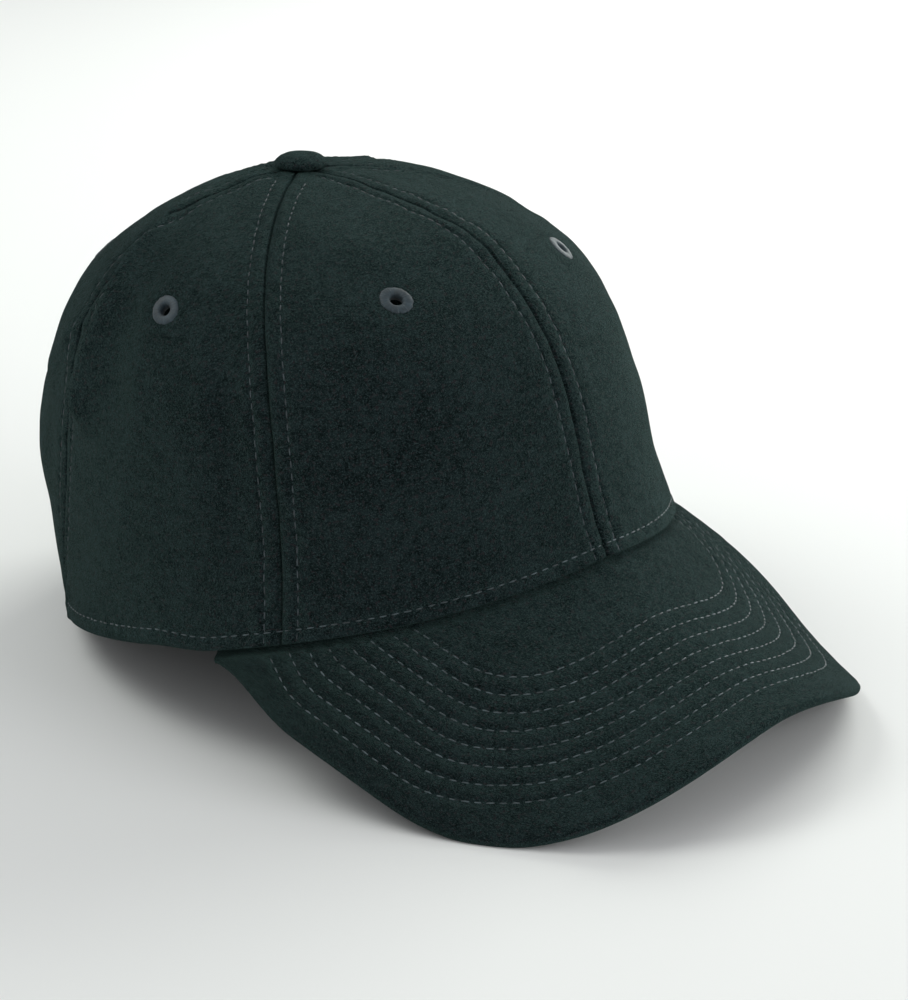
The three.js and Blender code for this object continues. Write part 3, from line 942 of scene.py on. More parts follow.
@dataclass(frozen=True)
class FeltFinish:
    """Brushed wool felt: a mottled ground, tangled fibres and a soft nap."""

    name: str
    deep: Triple
    ground: Triple
    fleck: Triple
    warm: Triple
    sheen: Triple = (0.30, 0.56, 0.48)
    sheen_weight: float = 0.24
    sheen_roughness: float = 0.19
    roughness: float = 0.95
    specular: float = 0.03
    bump: float = 1.0
    bump_distance: float = 0.0007
    noises: tuple[Triple, ...] = (
        (0.06, 3.0, 0.6), (0.36, 3.0, 0.7), (1.25, 3.0, 0.75), (2.1, 2.0, 0.7),
    )
    tint_noise: Triple = (0.9, 2.0, 0.6)
    tone_shares: Triple = (0.18, 0.42, 0.40)
    tone_range: Pair = (0.42, 0.595)
    tint_range: Pair = (0.54, 0.66)
    tint_share: float = 0.7
    strand_range: Pair = (0.3, 2.0)
    speck_range: Pair = (0.45, 0.64)
    speck_share: float = 0.66
    strand_share: float = 0.08
    height_shares: Triple = (0.25, 0.50, 0.12)
    strands: tuple[Pair, ...] = (
        (8.0, 2.1), (44.0, 1.8), (83.0, 2.2), (121.0, 1.9), (157.0, 2.0),
    )

    def fibres(self, graph: ShaderGraph, place: Wire, angle: float, scale: float) -> Wire:
        """Thin strands lying one way: where a stretched noise crosses its middle."""
        strands = graph.noise(graph.turned(place, angle, (3.6, 1.0, 1.0)), scale, 2.0, 0.6)
        return 1.0 - strands.distance(0.5).rise(0.0, 0.05)

    def material(self) -> bpy.types.Material:
        """Builds the felt over the cloth's own UV map, in millimetres."""
        graph = ShaderGraph(self.name)
        cloth = graph.wire(graph.node("ShaderNodeTexCoord", {}), "UV")
        cloud, clump, grain, specks = (graph.noise(cloth, *sizes) for sizes in self.noises)
        tangle = self.fibres(graph, cloth, *self.strands[0])
        for angle, scale in self.strands[1:]:
            tangle = tangle + self.fibres(graph, cloth, angle, scale)
        tint = graph.noise(cloth, *self.tint_noise)
        soft, coarse, fine = self.tone_shares
        tone = (cloud * soft + clump * coarse + grain * fine).rise(*self.tone_range)
        colour = graph.blend(tone, self.deep, self.ground)
        tint = tint.rise(*self.tint_range) * self.tint_share
        colour = graph.blend(tint, colour, self.warm)
        shown = specks.rise(*self.speck_range) * self.speck_share + self.strand_share
        colour = graph.blend(tangle.rise(*self.strand_range) * shown, colour, self.fleck)
        coarse, fine, hairs = self.height_shares
        height = clump * coarse + grain * fine + tangle * hairs
        return graph.finish(
            Base_Color=colour, Roughness=self.roughness,
            Normal=graph.bump(self.bump, self.bump_distance, height),
            Specular_IOR_Level=self.specular, Sheen_Weight=self.sheen_weight,
            Sheen_Roughness=self.sheen_roughness, Sheen_Tint=(*self.sheen, 1.0),
        )


@dataclass(frozen=True)
class ThreadFinish:
    """Twisted sewing thread with a faint lustre."""

    name: str
    dark: Triple
    light: Triple
    roughness: float = 0.55
    sheen_weight: float = 0.2
    bump: Pair = (0.35, 0.0002)

    def material(self) -> bpy.types.Material:
        """Builds the thread with fine strands over Object coordinates."""
        graph = ShaderGraph(self.name)
        place = graph.wire(graph.node("ShaderNodeTexCoord", {}), "Object")
        tone = graph.noise(place, 900.0, 2.0, 0.6) * 0.6 + graph.noise(place, 160.0, 1.0) * 0.5
        colour = graph.blend(tone.rise(0.35, 0.75), self.dark, self.light)
        return graph.finish(
            Base_Color=colour, Roughness=self.roughness, Sheen_Weight=self.sheen_weight,
            Normal=graph.bump(*self.bump, graph.noise(place, 3200.0, 1.0)),
        )


@dataclass(frozen=True)
class PlainFinish:
    """The floor's even matt surface."""

    name: str
    colour: Triple
    roughness: float = 0.9

    def material(self) -> bpy.types.Material:
        """Builds the matt surface."""
        return ShaderGraph(self.name).finish(
            Base_Color=(*self.colour, 1.0), Roughness=self.roughness
        )


CROWN_FELT = FeltFinish(
    "crown_felt", deep=(0.0016, 0.0050, 0.0053), ground=(0.0172, 0.0300, 0.0312),
    fleck=(0.062, 0.098, 0.102), warm=(0.034, 0.026, 0.030),
)
PEAK_FELT = FeltFinish(
    "peak_felt", deep=(0.0016, 0.0048, 0.0051), ground=(0.0164, 0.0285, 0.0296),
    fleck=(0.060, 0.095, 0.099), warm=(0.033, 0.025, 0.029),
)
SEWING_THREAD = ThreadFinish(
    "sewing_thread", dark=(0.014, 0.024, 0.028), light=(0.076, 0.112, 0.124)
)
SEAM_THREAD = ThreadFinish(
    "seam_thread", dark=(0.010, 0.018, 0.022), light=(0.046, 0.068, 0.078)
)
EYELET_THREAD = ThreadFinish(
    "eyelet_thread", dark=(0.007, 0.017, 0.023), light=(0.020, 0.042, 0.056)
)
FLOOR_FINISH = PlainFinish("pale_floor", (0.86, 0.86, 0.85))


def settle(
    piece: bpy.types.Object, material: bpy.types.Material, slot: str, *nodes: str
) -> bpy.types.Object:
    """Dresses a piece and ties it to the frame.

    Args:
        piece: The finished object.
        material: Its material.
        slot: The record's material slot it stands for. It is not used.
        *nodes: The CAD nodes it stands for.

    Returns:
        The piece.
    """
    piece.data.materials.clear()
    piece.data.materials.append(material)
    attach(piece, BODY)
    if nodes:
        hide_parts(*nodes)
    piece.data.calc_loop_triangles()
    log.info("%s: %d triangles", piece.name, len(piece.data.loop_triangles))
    return piece


@dataclass
class Crown:
    """The six felt panels of the crown, each a closed sheet with a hole for its eyelet."""

    dress: SeamDress
    maker: Fabricator
    columns: int = 110
    rows: int = 150
    seam_gap: float = 0.0003
    hem_lift: float = 1.1
    hem_steps: int = 6
    eyelet_cut: float = 2.9
    pattern_step: float = 160.0
    hem_pattern: float = 0.7
    inside_pattern: float = 5.0
    column_crowds: tuple[Triple, ...] = (
        (0, 5, 0.09), (1, 5, 0.09), (0.5, 1.2, 0.08),
    )
    row_crowds: tuple[Triple, ...] = ((0, 2.5, 0.05), (0.6, 1.2, 0.06))

    def outline(self, first: int, side: Side) -> tuple[Array, Array]:
        """A panel's grid of angles and levels.

        Columns crowd towards the seams and the eyelet, and rows towards the rim and the
        eyelet. The angles grow from column to column on both sides of the cap.

        Args:
            first: The seam that the panel starts from, counted from the front.
            side: Its half of the cap.

        Returns:
            The angle and the level of each point, columns first.
        """
        crown, form = self.dress.crown, self.dress.crown.form
        share = crowded(self.columns, self.column_crowds)
        share = self.seam_gap + (1 - 2 * self.seam_gap) * share
        climb = crowded(self.rows, self.row_crowds)
        share = share if side is Side.RIGHT else share[::-1]
        low, high = form.seams[first], form.seams[first + 1]
        foot = side.sign * (low[0] + (high[0] - low[0]) * share)
        start = crown.level_at(foot, np.full(share.shape, self.hem_lift))
        end = crown.level_near_top(foot, BUTTON_HOLE)
        level = start[:, None] + (end - start)[:, None] * climb[None, :]
        near, far = form.seam_angle(first, level), form.seam_angle(first + 1, level)
        return side.sign * (near + (far - near) * share[:, None]), level

    def cut_hole(self, faces: Array, shape: tuple[int, int], gone: Array) -> Array:
        """Cuts a hole through both faces of a folded sheet and walls it in.

        Args:
            faces: The folded sheet's faces, its grid's faces first.
            shape: The grid's columns and rows.
            gone: True for the cells of the outer face to take away.

        Returns:
            The faces with the hole.
        """
        columns, rows = shape
        away = np.zeros((columns - 1, rows - 1), bool)
        span = gone.shape[1]
        away[:, :span] = gone
        away[:, rows - 1 - span:] |= gone[:, ::-1]
        keep = np.concatenate([~away.ravel(), np.ones(len(faces) - away.size, bool)])

        def wall(cells: Array, step: tuple[int, int]) -> Array:
            start = cells[:, 0] * rows + cells[:, 1]
            stop = start + step[0] * rows + step[1]
            back = (2 * cells[:, 0] + 1) * rows - 1
            return np.stack([start, stop, back + step[0] * 2 * rows - stop, back - start], -1)

        walls = []
        for axis, step, turn in ((0, (0, 1), 1), (1, (1, 0), -1)):
            edge = np.diff(gone.astype(int), axis=axis)
            shift = np.array(step[::-1])
            walls.append(wall(np.argwhere(edge > 0) + shift, step)[:, ::turn])
            walls.append(wall(np.argwhere(edge < 0) + shift, step)[:, ::-turn])
        return np.concatenate([faces[keep], *walls])

    def pattern(self, angle: Array, level: Array, middle: float) -> Array:
        """The felt's own coordinates over a panel: its outer face, its hem, its inner face.

        Args:
            angle: The panel's angles.
            level: Its levels.
            middle: Where its middle column lies across the pattern.

        Returns:
            A pair a point, in millimetres, in the order of the folded sheet.
        """
        crown = self.dress.crown
        centre_line = np.full(angle.shape, angle[len(angle) // 2, :1])
        over = crown.girth(angle, level) - crown.girth(centre_line, level) + middle
        rise = crown.length(angle, level)
        turn = np.arange(1, self.hem_steps + 1)[None, :] * self.hem_pattern
        edge = np.repeat(over[:, :1], self.hem_steps, 1)
        across = np.concatenate([over[:, ::-1], edge, over], axis=1)
        inner = -self.inside_pattern - rise
        along = np.concatenate([rise[:, ::-1], -turn + 0 * edge, inner], axis=1)
        return np.stack([across, along], -1).reshape(-1, 2)

    def panel(
        self, first: int, place: EyeletPlace, side: Side
    ) -> tuple[bpy.types.Object, Array]:
        """One panel: down its outer face, round the rim and up its inner face.

        Args:
            first: The seam that it starts from, counted from the front.
            place: Its name and its eyelet.
            side: Its half of the cap.

        Returns:
            The panel's object, and the points of its outer face in millimetres.
        """
        crown = self.dress.crown
        angle, level = self.outline(first, side)
        outer, _ = self.dress.outer_point(angle, level)
        inner, _ = self.dress.inner_point(angle, level)
        centre, axis = self.dress.outer_point(*place.on(side))

        def off_axis(points: Array) -> tuple[Array, Array]:
            away = points - centre[0]
            away = away - (away @ axis[0])[..., None] * axis[0]
            return away, np.linalg.norm(away, axis=-1)

        middle = (outer[1:, 1:] + outer[:-1, :-1]) / 2
        gone = off_axis(middle)[1] < self.eyelet_cut
        corner = np.zeros(angle.shape, int)
        for column in (0, 1):
            for row in (0, 1):
                stretch = slice(column, column - 1 or None), slice(row, row - 1 or None)
                corner[stretch] += gone
        brink = (corner > 0) & (corner < 4)
        for face in (outer, inner):
            away, distance = off_axis(face)
            pull = (self.eyelet_cut / np.maximum(distance, 0.1) - 1)[..., None] * away
            face += np.where(brink[..., None], pull, 0.0)

        rim_angle = angle[:, 0]
        rim_x, rim_y = crown.form.ring(rim_angle, np.zeros(rim_angle.shape), FELT_WALL / 2)
        rim_z = crown.rim_height(rim_x, rim_y, rim_angle)
        down = np.stack([rim_x, rim_y, rim_z], -1) - (outer[:, 0] + inner[:, 0]) / 2
        hem = hem_round(outer[:, 0], inner[:, 0], down, self.hem_steps)
        sheet = np.concatenate([outer[:, ::-1], hem, inner], axis=1)
        sheet[..., 2] = np.maximum(sheet[..., 2], FLOOR_GAP)
        columns, rows = sheet.shape[:2]
        faces = self.maker.folded_faces(columns, rows)
        faces = self.cut_hole(faces, (columns, rows), gone[:, ::-1])
        uv = self.pattern(angle, level, self.pattern_step * (first + 1) * side.sign)
        name = f"crown_panel_{place.label}_{side.label}"
        return self.maker.mesh(name, sheet.reshape(-1, 3), faces, uv), outer

    def flat_cut(self, outer: Array) -> Triple:
        """The flat felt that a panel is cut from, with its allowances and hem.

        Args:
            outer: The panel's outer face in millimetres.

        Returns:
            The widest width, the greatest length and the area, in metres.
        """
        girths = running_length(outer, 0)[-1]
        lengths = running_length(outer, 1)[:, -1]
        margin, hem = 2 * self.dress.allowance_end, self.dress.hem_turn
        width = (girths.max() + margin) * MM
        length = (lengths.max() + hem) * MM
        rises = np.diff(running_length(outer, 1)[len(outer) // 2])
        spans = (girths[1:] + girths[:-1]) / 2 + margin
        area = (spans * rises).sum() + hem * (girths[0] + margin)
        return width, length, float(area) * MM * MM

    def build(self) -> None:
        felt = CROWN_FELT.material()
        for first, place in enumerate(EyeletPlace):
            for side in Side:
                piece, outer = self.panel(first, place, side)
                settle(piece, felt, "felt", f"panel_{place.label}_{side.label}")
                width, length, area = self.flat_cut(outer)
                log.info("%s: cut %.0f x %.0f mm", piece.name, width / MM, length / MM)


@dataclass
class Peak:
    """The stitched peak: two felts over a stiff board, turned up inside the crown."""

    form: PeakForm
    crown: CrownMap
    maker: Fabricator
    columns: int = 230
    rows: int = 100
    edge_steps: int = 8
    turn_up: float = 7.0
    turn_steps: int = 6
    turn_wall: float = 1.2
    rows_of_stitches: int = 8
    first_row: float = 10.3
    row_pitch: float = 4.9
    bend: float = 6.0
    bend_depths: Pair = (14.0, 34.0)
    side_gain: float = 3.5
    side_start: Pair = (0.38, 0.58)
    side_end: Pair = (0.80, 0.97)
    row_dip: Swell = Swell(-0.30, 0.0, 0.85)
    root_dip: Swell = Swell(0.8, 1.0, 1.9)
    edge_swell: Swell = Swell(0.106, 6.5, 4.5)
    puff: float = 0.13
    waves: tuple[Pair, ...] = ((0.12, 9.0), (0.16, 31.0))
    quiet_edge: Pair = (0.5, 4.0)
    row_crowds: tuple[Triple, ...] = ((1, 1.5, 0.05),)
    edge_round: float = 0.9
    turn_low: float = 0.8
    turn_taper: float = 0.65
    turn_gap: float = 1.0
    pattern_place: float = 900.0

    def edge_distance(self, points: Array) -> tuple[Array, Array]:
        """Distances to the peak's edge, and to it as the rows of stitches keep to it.

        A row stands nearer to the sides than to the front: the second distance is
        longer by a smooth share of side_gain where the nearest edge is a side.

        Args:
            points: Points of the peak's grid.

        Returns:
            The plain distances and the rows' distances.
        """
        share = np.linspace(-1, 1, 601)
        edge = self.form.point(share, np.ones(share.shape))
        side = smoothstep(np.abs(share), *self.side_start)
        side = side * (1 - smoothstep(np.abs(share), *self.side_end))
        flat = points.reshape(-1, 3)
        best = np.full((2, len(flat)), np.inf)
        for start in range(0, len(edge), 50):
            gap = flat[:, None] - edge[None, start:start + 50]
            far = np.sqrt((gap**2).sum(-1))
            best[0] = np.minimum(best[0], far.min(1))
            far += self.side_gain * side[None, start:start + 50]
            best[1] = np.minimum(best[1], far.min(1))
        plain, rows = best.reshape((2, *points.shape[:-1]))
        return plain, self.softened(rows)

    def softened(self, distance: Array) -> Array:
        """Rounds the bends of the inner rows: a weighted mean across the columns.

        The weights are a bell of the bend's width, and the mean comes in with the
        distance, so that the outer rows keep to the edge.

        Args:
            distance: Distances to the edge over the peak's grid.

        Returns:
            The rounded distances.
        """
        reach = int(3 * self.bend)
        bell = ridge(np.arange(-reach, reach + 1), 0, self.bend)
        padded = np.pad(distance, ((reach, reach), (0, 0)), mode="edge")
        windows = np.lib.stride_tricks.sliding_window_view(padded, 2 * reach + 1, axis=0)
        mean = windows @ (bell / bell.sum())
        return distance + (mean - distance) * smoothstep(distance, *self.bend_depths)

    def relief(
        self, distance: Array, plain: Array, across: Array, along: Array, seed: int
    ) -> Array:
        """The quilted relief: a dip at each row of stitches and a soft swell between.

        Args:
            distance: The rows' distances to the edge.
            plain: Plain distances to the edge.
            across: Place across the peak, for the uneven waves.
            along: Place from back to front.
            seed: Seed of the waves.

        Returns:
            The push out of the plain face.
        """
        row = (distance - self.first_row) / self.row_pitch
        last = self.rows_of_stitches - 1
        nearest = np.clip(np.round(row), 0, last)
        push = self.row_dip.over((row - nearest) * self.row_pitch)
        swell = self.puff * (0.5 - 0.5 * np.cos(2 * np.pi * row))
        push += swell * smoothstep(row, -0.6, 0.3) * (1 - smoothstep(row, last, last + 0.6))
        push += self.edge_swell.over(plain)
        for number, (height, size) in enumerate(self.waves):
            push = push + Waves(height, size, seed + number).over(across, along)
        return push * smoothstep(plain, *self.quiet_edge)

    def grid(self) -> tuple[Array, Array]:
        """Shares across and along the peak, crowded towards its corners and edge."""
        even = np.linspace(-1, 1, self.columns + 1)
        share = even * (1.25 - 0.25 * even**2)
        return np.clip(share, -1, 1), crowded(self.rows, self.row_crowds)

    def faces_of_peak(self) -> tuple[Array, Array, Array, Array]:
        """The upper and lower faces' points, their rows' distances and the grid."""
        share, along = self.grid()
        plain = self.form.point(share[:, None], along[None, :])
        gap, distance = self.edge_distance(plain)
        normal = self.form.normal(plain)
        x, y = plain[..., 0], plain[..., 1]
        half = self.form.thickness / 2
        middle = plain - normal * half
        rounding = np.sqrt(1 - (1 - smoothstep(gap, -half, half * 1.6)) ** 2)
        root = self.root_dip.over(np.linalg.norm(plain - plain[:, :1], axis=-1))
        over = self.relief(distance, gap, x, y, 21) - root
        upper = middle + normal * (half * rounding + over)[..., None]
        under = self.relief(distance, gap, x, y, 31)
        lower = middle - normal * (half * rounding + under)[..., None]
        lower[..., 2] = np.maximum(lower[..., 2], FLOOR_GAP)
        return upper, lower, distance, share

    def build(self) -> None:
        """Makes and dresses the peak."""
        upper, lower, _, share = self.faces_of_peak()
        edge_out = unit(upper[:, -1] - upper[:, -2]) * self.edge_round
        edge = hem_round(upper[:, -1], lower[:, -1], edge_out, self.edge_steps)
        edge[..., 2] = np.maximum(edge[..., 2], FLOOR_GAP)
        angle = share * self.form.corner
        climb = np.linspace(self.turn_up, self.turn_low, self.turn_steps)
        narrow = self.turn_taper * smoothstep(np.abs(share), 0.9, 1.0)

        def upright(inset: float) -> Array:
            rise = climb[None, :] * (1 - narrow)[:, None]
            angles = np.repeat(angle[:, None], self.turn_steps, 1)
            level = self.crown.level_at(angles.ravel(), rise.ravel()).reshape(rise.shape)
            return self.crown.point(angles, level) - self.crown.normal(angles, level) * inset

        outside = upright(FELT_WALL + self.turn_gap)
        inside = upright(FELT_WALL + self.turn_gap + self.turn_wall)[:, ::-1]
        sheet = np.concatenate([outside, upper, edge, lower[:, ::-1], inside], axis=1)
        columns, rows = sheet.shape[:2]
        across = running_length(sheet, 0)
        across = across - across[columns // 2] + self.pattern_place
        uv = np.stack([across, running_length(sheet, 1)], -1).reshape(-1, 2)
        faces = self.maker.folded_faces(columns, rows)
        piece = self.maker.mesh("peak_felt_and_board", sheet.reshape(-1, 3), faces, uv)
        settle(piece, PEAK_FELT.material(), "peak_felt", "peak")


@dataclass
class Stitching:
    """Every row of stitches, each stitch a short arched thread half sunk in the felt."""

    dress: SeamDress
    peak: Peak
    maker: Fabricator
    pitch: float = 3.2
    length: float = 2.55
    width: float = 0.40
    height: float = 0.30
    arch: float = 0.05
    end_drop: float = 0.22
    pole_drop: float = 0.1
    rings: tuple[Pair, ...] = (
        (-0.46, 0.62), (-0.30, 0.95), (0.0, 1.0), (0.30, 0.95), (0.46, 0.62),
    )
    sides: int = 6
    seed: int = 17
    uneven_step: float = 0.07
    uneven_turn: float = 0.035
    uneven_size: float = 0.04
    widest_offset: float = 26.0

    def thread(self) -> tuple[Array, Array]:
        """One stitch about its middle, along the first axis and up the third.

        Its rings shrink towards both ends, which dip by the square of their distance.

        Returns:
            The points and the faces.
        """
        place, girth = np.array(self.rings).T
        turn = np.arange(self.sides) * 2 * np.pi / self.sides
        across, up = np.cos(turn) * self.width / 2, np.sin(turn) * self.height / 2
        ring = np.stack([0 * turn, across, up], -1)
        lift = self.arch - (2 * place) ** 2 * (self.arch + self.end_drop)
        points = ring[:, None] * girth[None, :, None]
        points[..., 0] += place * self.length
        points[..., 2] += lift
        low = lift[0] - self.pole_drop
        poles = [[-self.length / 2, 0, low], [self.length / 2, 0, low]]
        points = np.concatenate([points.reshape(-1, 3), poles])
        return points, self.maker.tube_faces(self.sides, len(place))

    def along_row(self, centre: Array, normal: Array, line: Array) -> tuple[Array, Array, Array]:
        """Places on a row at equal steps.

        Args:
            centre: The row's fine points.
            normal: The cloth's normals there.
            line: The running length at each point.

        Returns:
            The stitches' middles, their directions and their normals.
        """
        count = int((line[-1] - self.pitch * 0.4) // self.pitch)
        if count < 1:
            return np.zeros((0, 3)), np.zeros((0, 3)), np.zeros((0, 3))
        draw = np.random.default_rng(self.seed + count)
        at = (np.arange(count) + 0.6) * self.pitch + draw.normal(0, self.uneven_step, count)

        def sample(values: Array, where: Array) -> Array:
            return np.stack([np.interp(where, line, values[:, k]) for k in range(3)], -1)

        half = self.length / 2
        way = unit(sample(centre, at + half) - sample(centre, at - half))
        up = unit(sample(normal, at))
        yaw = draw.normal(0, self.uneven_turn, count)[:, None]
        way = unit(way + np.cross(up, way) * yaw)
        middle = sample(centre, at + half) + sample(centre, at - half)
        middle = (middle + 2 * sample(centre, at)) / 4
        return middle, way, unit(up - way * (up * way).sum(-1, keepdims=True))

    def sew(self, name: str, rows: Sequence[tuple[Array, Array]], thread: ThreadFinish) -> None:
        """Sets a stitch at every place of every row and joins them in one mesh.

        Args:
            name: The piece's name.
            rows: The fine points and the normals of each row.
            thread: The thread's finish.
        """
        places = [self.along_row(p, n, running_length(p, 0)) for p, n in rows if len(p) > 3]
        middle, way, up = (np.concatenate([place[k] for place in places]) for k in range(3))
        side = np.cross(up, way)
        points, faces = self.thread()
        draw = np.random.default_rng(self.seed)
        scale = 1 + draw.normal(0, self.uneven_size, (len(middle), 1, 1))
        body = middle[:, None] + scale * (
            points[None, :, :1] * way[:, None]
            + points[None, :, 1:2] * side[:, None]
            + points[None, :, 2:] * up[:, None]
        )
        every = faces[None] + np.arange(len(middle))[:, None, None] * len(points)
        piece = self.maker.mesh(name, body.reshape(-1, 3), every.reshape(-1, 4))
        settle(piece, thread.material(), "thread")

    def crown_rows(self) -> list[tuple[Array, Array]]:
        """The angles and levels of the rows beside the seams and above the rim."""
        crown = self.dress.crown
        rows = []
        level = np.linspace(0.008, 0.97, 420)
        for index in range(len(crown.form.seams)):
            seam = crown.form.seam_angle(index, level)
            rate, _ = crown.rates(np.minimum(seam, 179.0), level)
            offset = SEAM_ROW / rate
            fits = offset < self.widest_offset
            for sign in (-1, 1):
                angle = (seam + sign * offset)[fits]
                rows += [(wrapped(turn), level[fits]) for turn in (angle, -angle)]
        unique = [rows[k] for k in range(len(rows)) if not self.repeats(rows, k)]
        turn = np.linspace(-179.9, 179.9, 1400)
        rise = np.full(turn.shape, HEM_ROW)
        return [*unique, (turn, crown.level_at(turn, rise))]

    @staticmethod
    def repeats(rows: list[tuple[Array, Array]], index: int) -> bool:
        """Whether a row lies on an earlier one, as on the front and rear seams."""
        row = rows[index][0]
        earlier = [other for other, _ in rows[:index] if len(other) == len(row)]
        return any(np.abs(other - row).max() < 0.5 for other in earlier)

    def peak_rows(self) -> list[tuple[Array, Array]]:
        """The fine points and normals of the peak's rows, on its upper and lower faces."""
        upper, lower, distance, _ = self.peak.faces_of_peak()
        rows = []
        for k in range(self.peak.rows_of_stitches):
            target = self.peak.first_row + k * self.peak.row_pitch
            over = distance > target
            fits = over[:, 0]
            last = np.clip(over.sum(1) - 1, 0, distance.shape[1] - 2)
            pick = np.arange(len(distance))
            near, far = distance[pick, last], distance[pick, last + 1]
            share = ((near - target) / np.maximum(near - far, 1e-6))[:, None]
            for face, sign in ((upper, 1), (lower, -1)):
                points = face[pick, last] * (1 - share) + face[pick, last + 1] * share
                normal = sign * self.peak.form.normal(points)
                rows.append((points[fits], normal[fits]))
        return rows

    def build(self) -> None:
        """Sews the crown and the peak."""
        paths = self.crown_rows()
        outer = [self.dress.outer_point(a, t) for a, t in paths]
        inner = [self.dress.inner_point(a, t) for a, t in paths]
        self.sew("seam_stitching", outer[:-1], SEAM_THREAD)
        self.sew("hem_stitching", outer[-1:], SEWING_THREAD)
        self.sew("crown_stitching_inside", inner, SEAM_THREAD)
        self.sew("peak_stitching", self.peak_rows(), SEWING_THREAD)


@dataclass
class Eyelets:
    """Six sewn eyelets: a satin ring of thread round each hole, outside and inside."""

    dress: SeamDress
    maker: Fabricator
    threads: int = 58
    samples: int = 4
    twist: float = 0.085
    profile: tuple[Pair, ...] = (
        (1.62, -0.40), (1.90, 0.20), (2.55, 0.44), (3.45, 0.40), (4.15, 0.10),
        (4.10, -0.30), (2.90, -0.70), (2.60, -1.50), (3.70, -1.95), (3.70, -2.35),
        (2.80, -2.55), (1.90, -2.30), (1.60, -1.30),
    )
    profile_steps: int = 3
    uneven_reach: float = 0.07
    uneven_swell: float = 0.025
    reach_radii: Pair = (3.4, 4.1)
    rib_power: float = 0.7
    sink: float = 0.6
    pattern_radius: float = 4.0

    def section(self) -> tuple[Array, Array]:
        """The ring's section: radius and height over the felt, as a smooth closed line.

        A periodic Catmull-Rom cubic joins the rows of the profile.

        Returns:
            The section's points and its outward directions.
        """
        table = np.array(self.profile)
        step = (np.arange(len(table) * self.profile_steps) / self.profile_steps)[:, None]
        row = np.floor(step).astype(int)[:, 0]
        share = step - row[:, None]
        line = catmull_rom([table[(row + k) % len(table)] for k in (-1, 0, 1, 2)], share)
        way = unit(np.roll(line, -1, 0) - np.roll(line, 1, 0))
        return line, np.stack([-way[:, 1], way[:, 0]], -1)

    def eyelet(self, place: EyeletPlace, side: Side, seed: int) -> bpy.types.Object:
        """One eyelet, laid on the felt: every thread a rounded rib of its own length.

        Args:
            place: The panel's eyelet.
            side: Its half of the cap.
            seed: Seed of the threads' unevenness.

        Returns:
            The eyelet.
        """
        line, way = self.section()
        draw = np.random.default_rng(seed)
        count = self.threads * self.samples
        turn = np.arange(count) * 2 * np.pi / count
        rib = np.abs(np.sin(np.arange(count) * np.pi / self.samples + np.pi / 8))
        reach = np.repeat(draw.normal(0, self.uneven_reach, self.threads), self.samples)
        swell = np.repeat(draw.normal(0, self.uneven_swell, self.threads), self.samples)
        swell = (self.twist * (rib**self.rib_power - 0.5) + swell)[:, None]
        radius, height = (line[None, :, k] + swell * way[None, :, k] for k in (0, 1))
        radius = radius + reach[:, None] * smoothstep(line[None, :, 0], *self.reach_radii)
        angle, level = place.on(side)
        girth, rise = self.dress.crown.rates(angle, level)
        angles = angle + radius * np.cos(turn)[:, None] / girth
        levels = level + radius * np.sin(turn)[:, None] / rise
        surface, normal = self.dress.outer_point(angles, levels)
        sink = self.dress.outside(angles, levels)[..., None]
        points = surface + normal * (height[..., None] - sink * self.sink)
        faces = self.maker.grid_faces(count, len(line), True, True)
        around = np.repeat(turn[:, None] * self.pattern_radius, len(line), 1)
        return self.maker.mesh(
            f"eyelet_ring_{place.label}_{side.label}", points.reshape(-1, 3), faces,
            np.stack([around, radius], -1).reshape(-1, 2),
        )

    def build(self) -> None:
        """Makes and dresses the eyelets."""
        thread = EYELET_THREAD.material()
        for number, place in enumerate(EyeletPlace):
            for side in Side:
                piece = self.eyelet(place, side, 40 + 2 * number + (side is Side.LEFT))
                settle(piece, thread, "thread", f"eyelet_{place.label}_{side.label}")


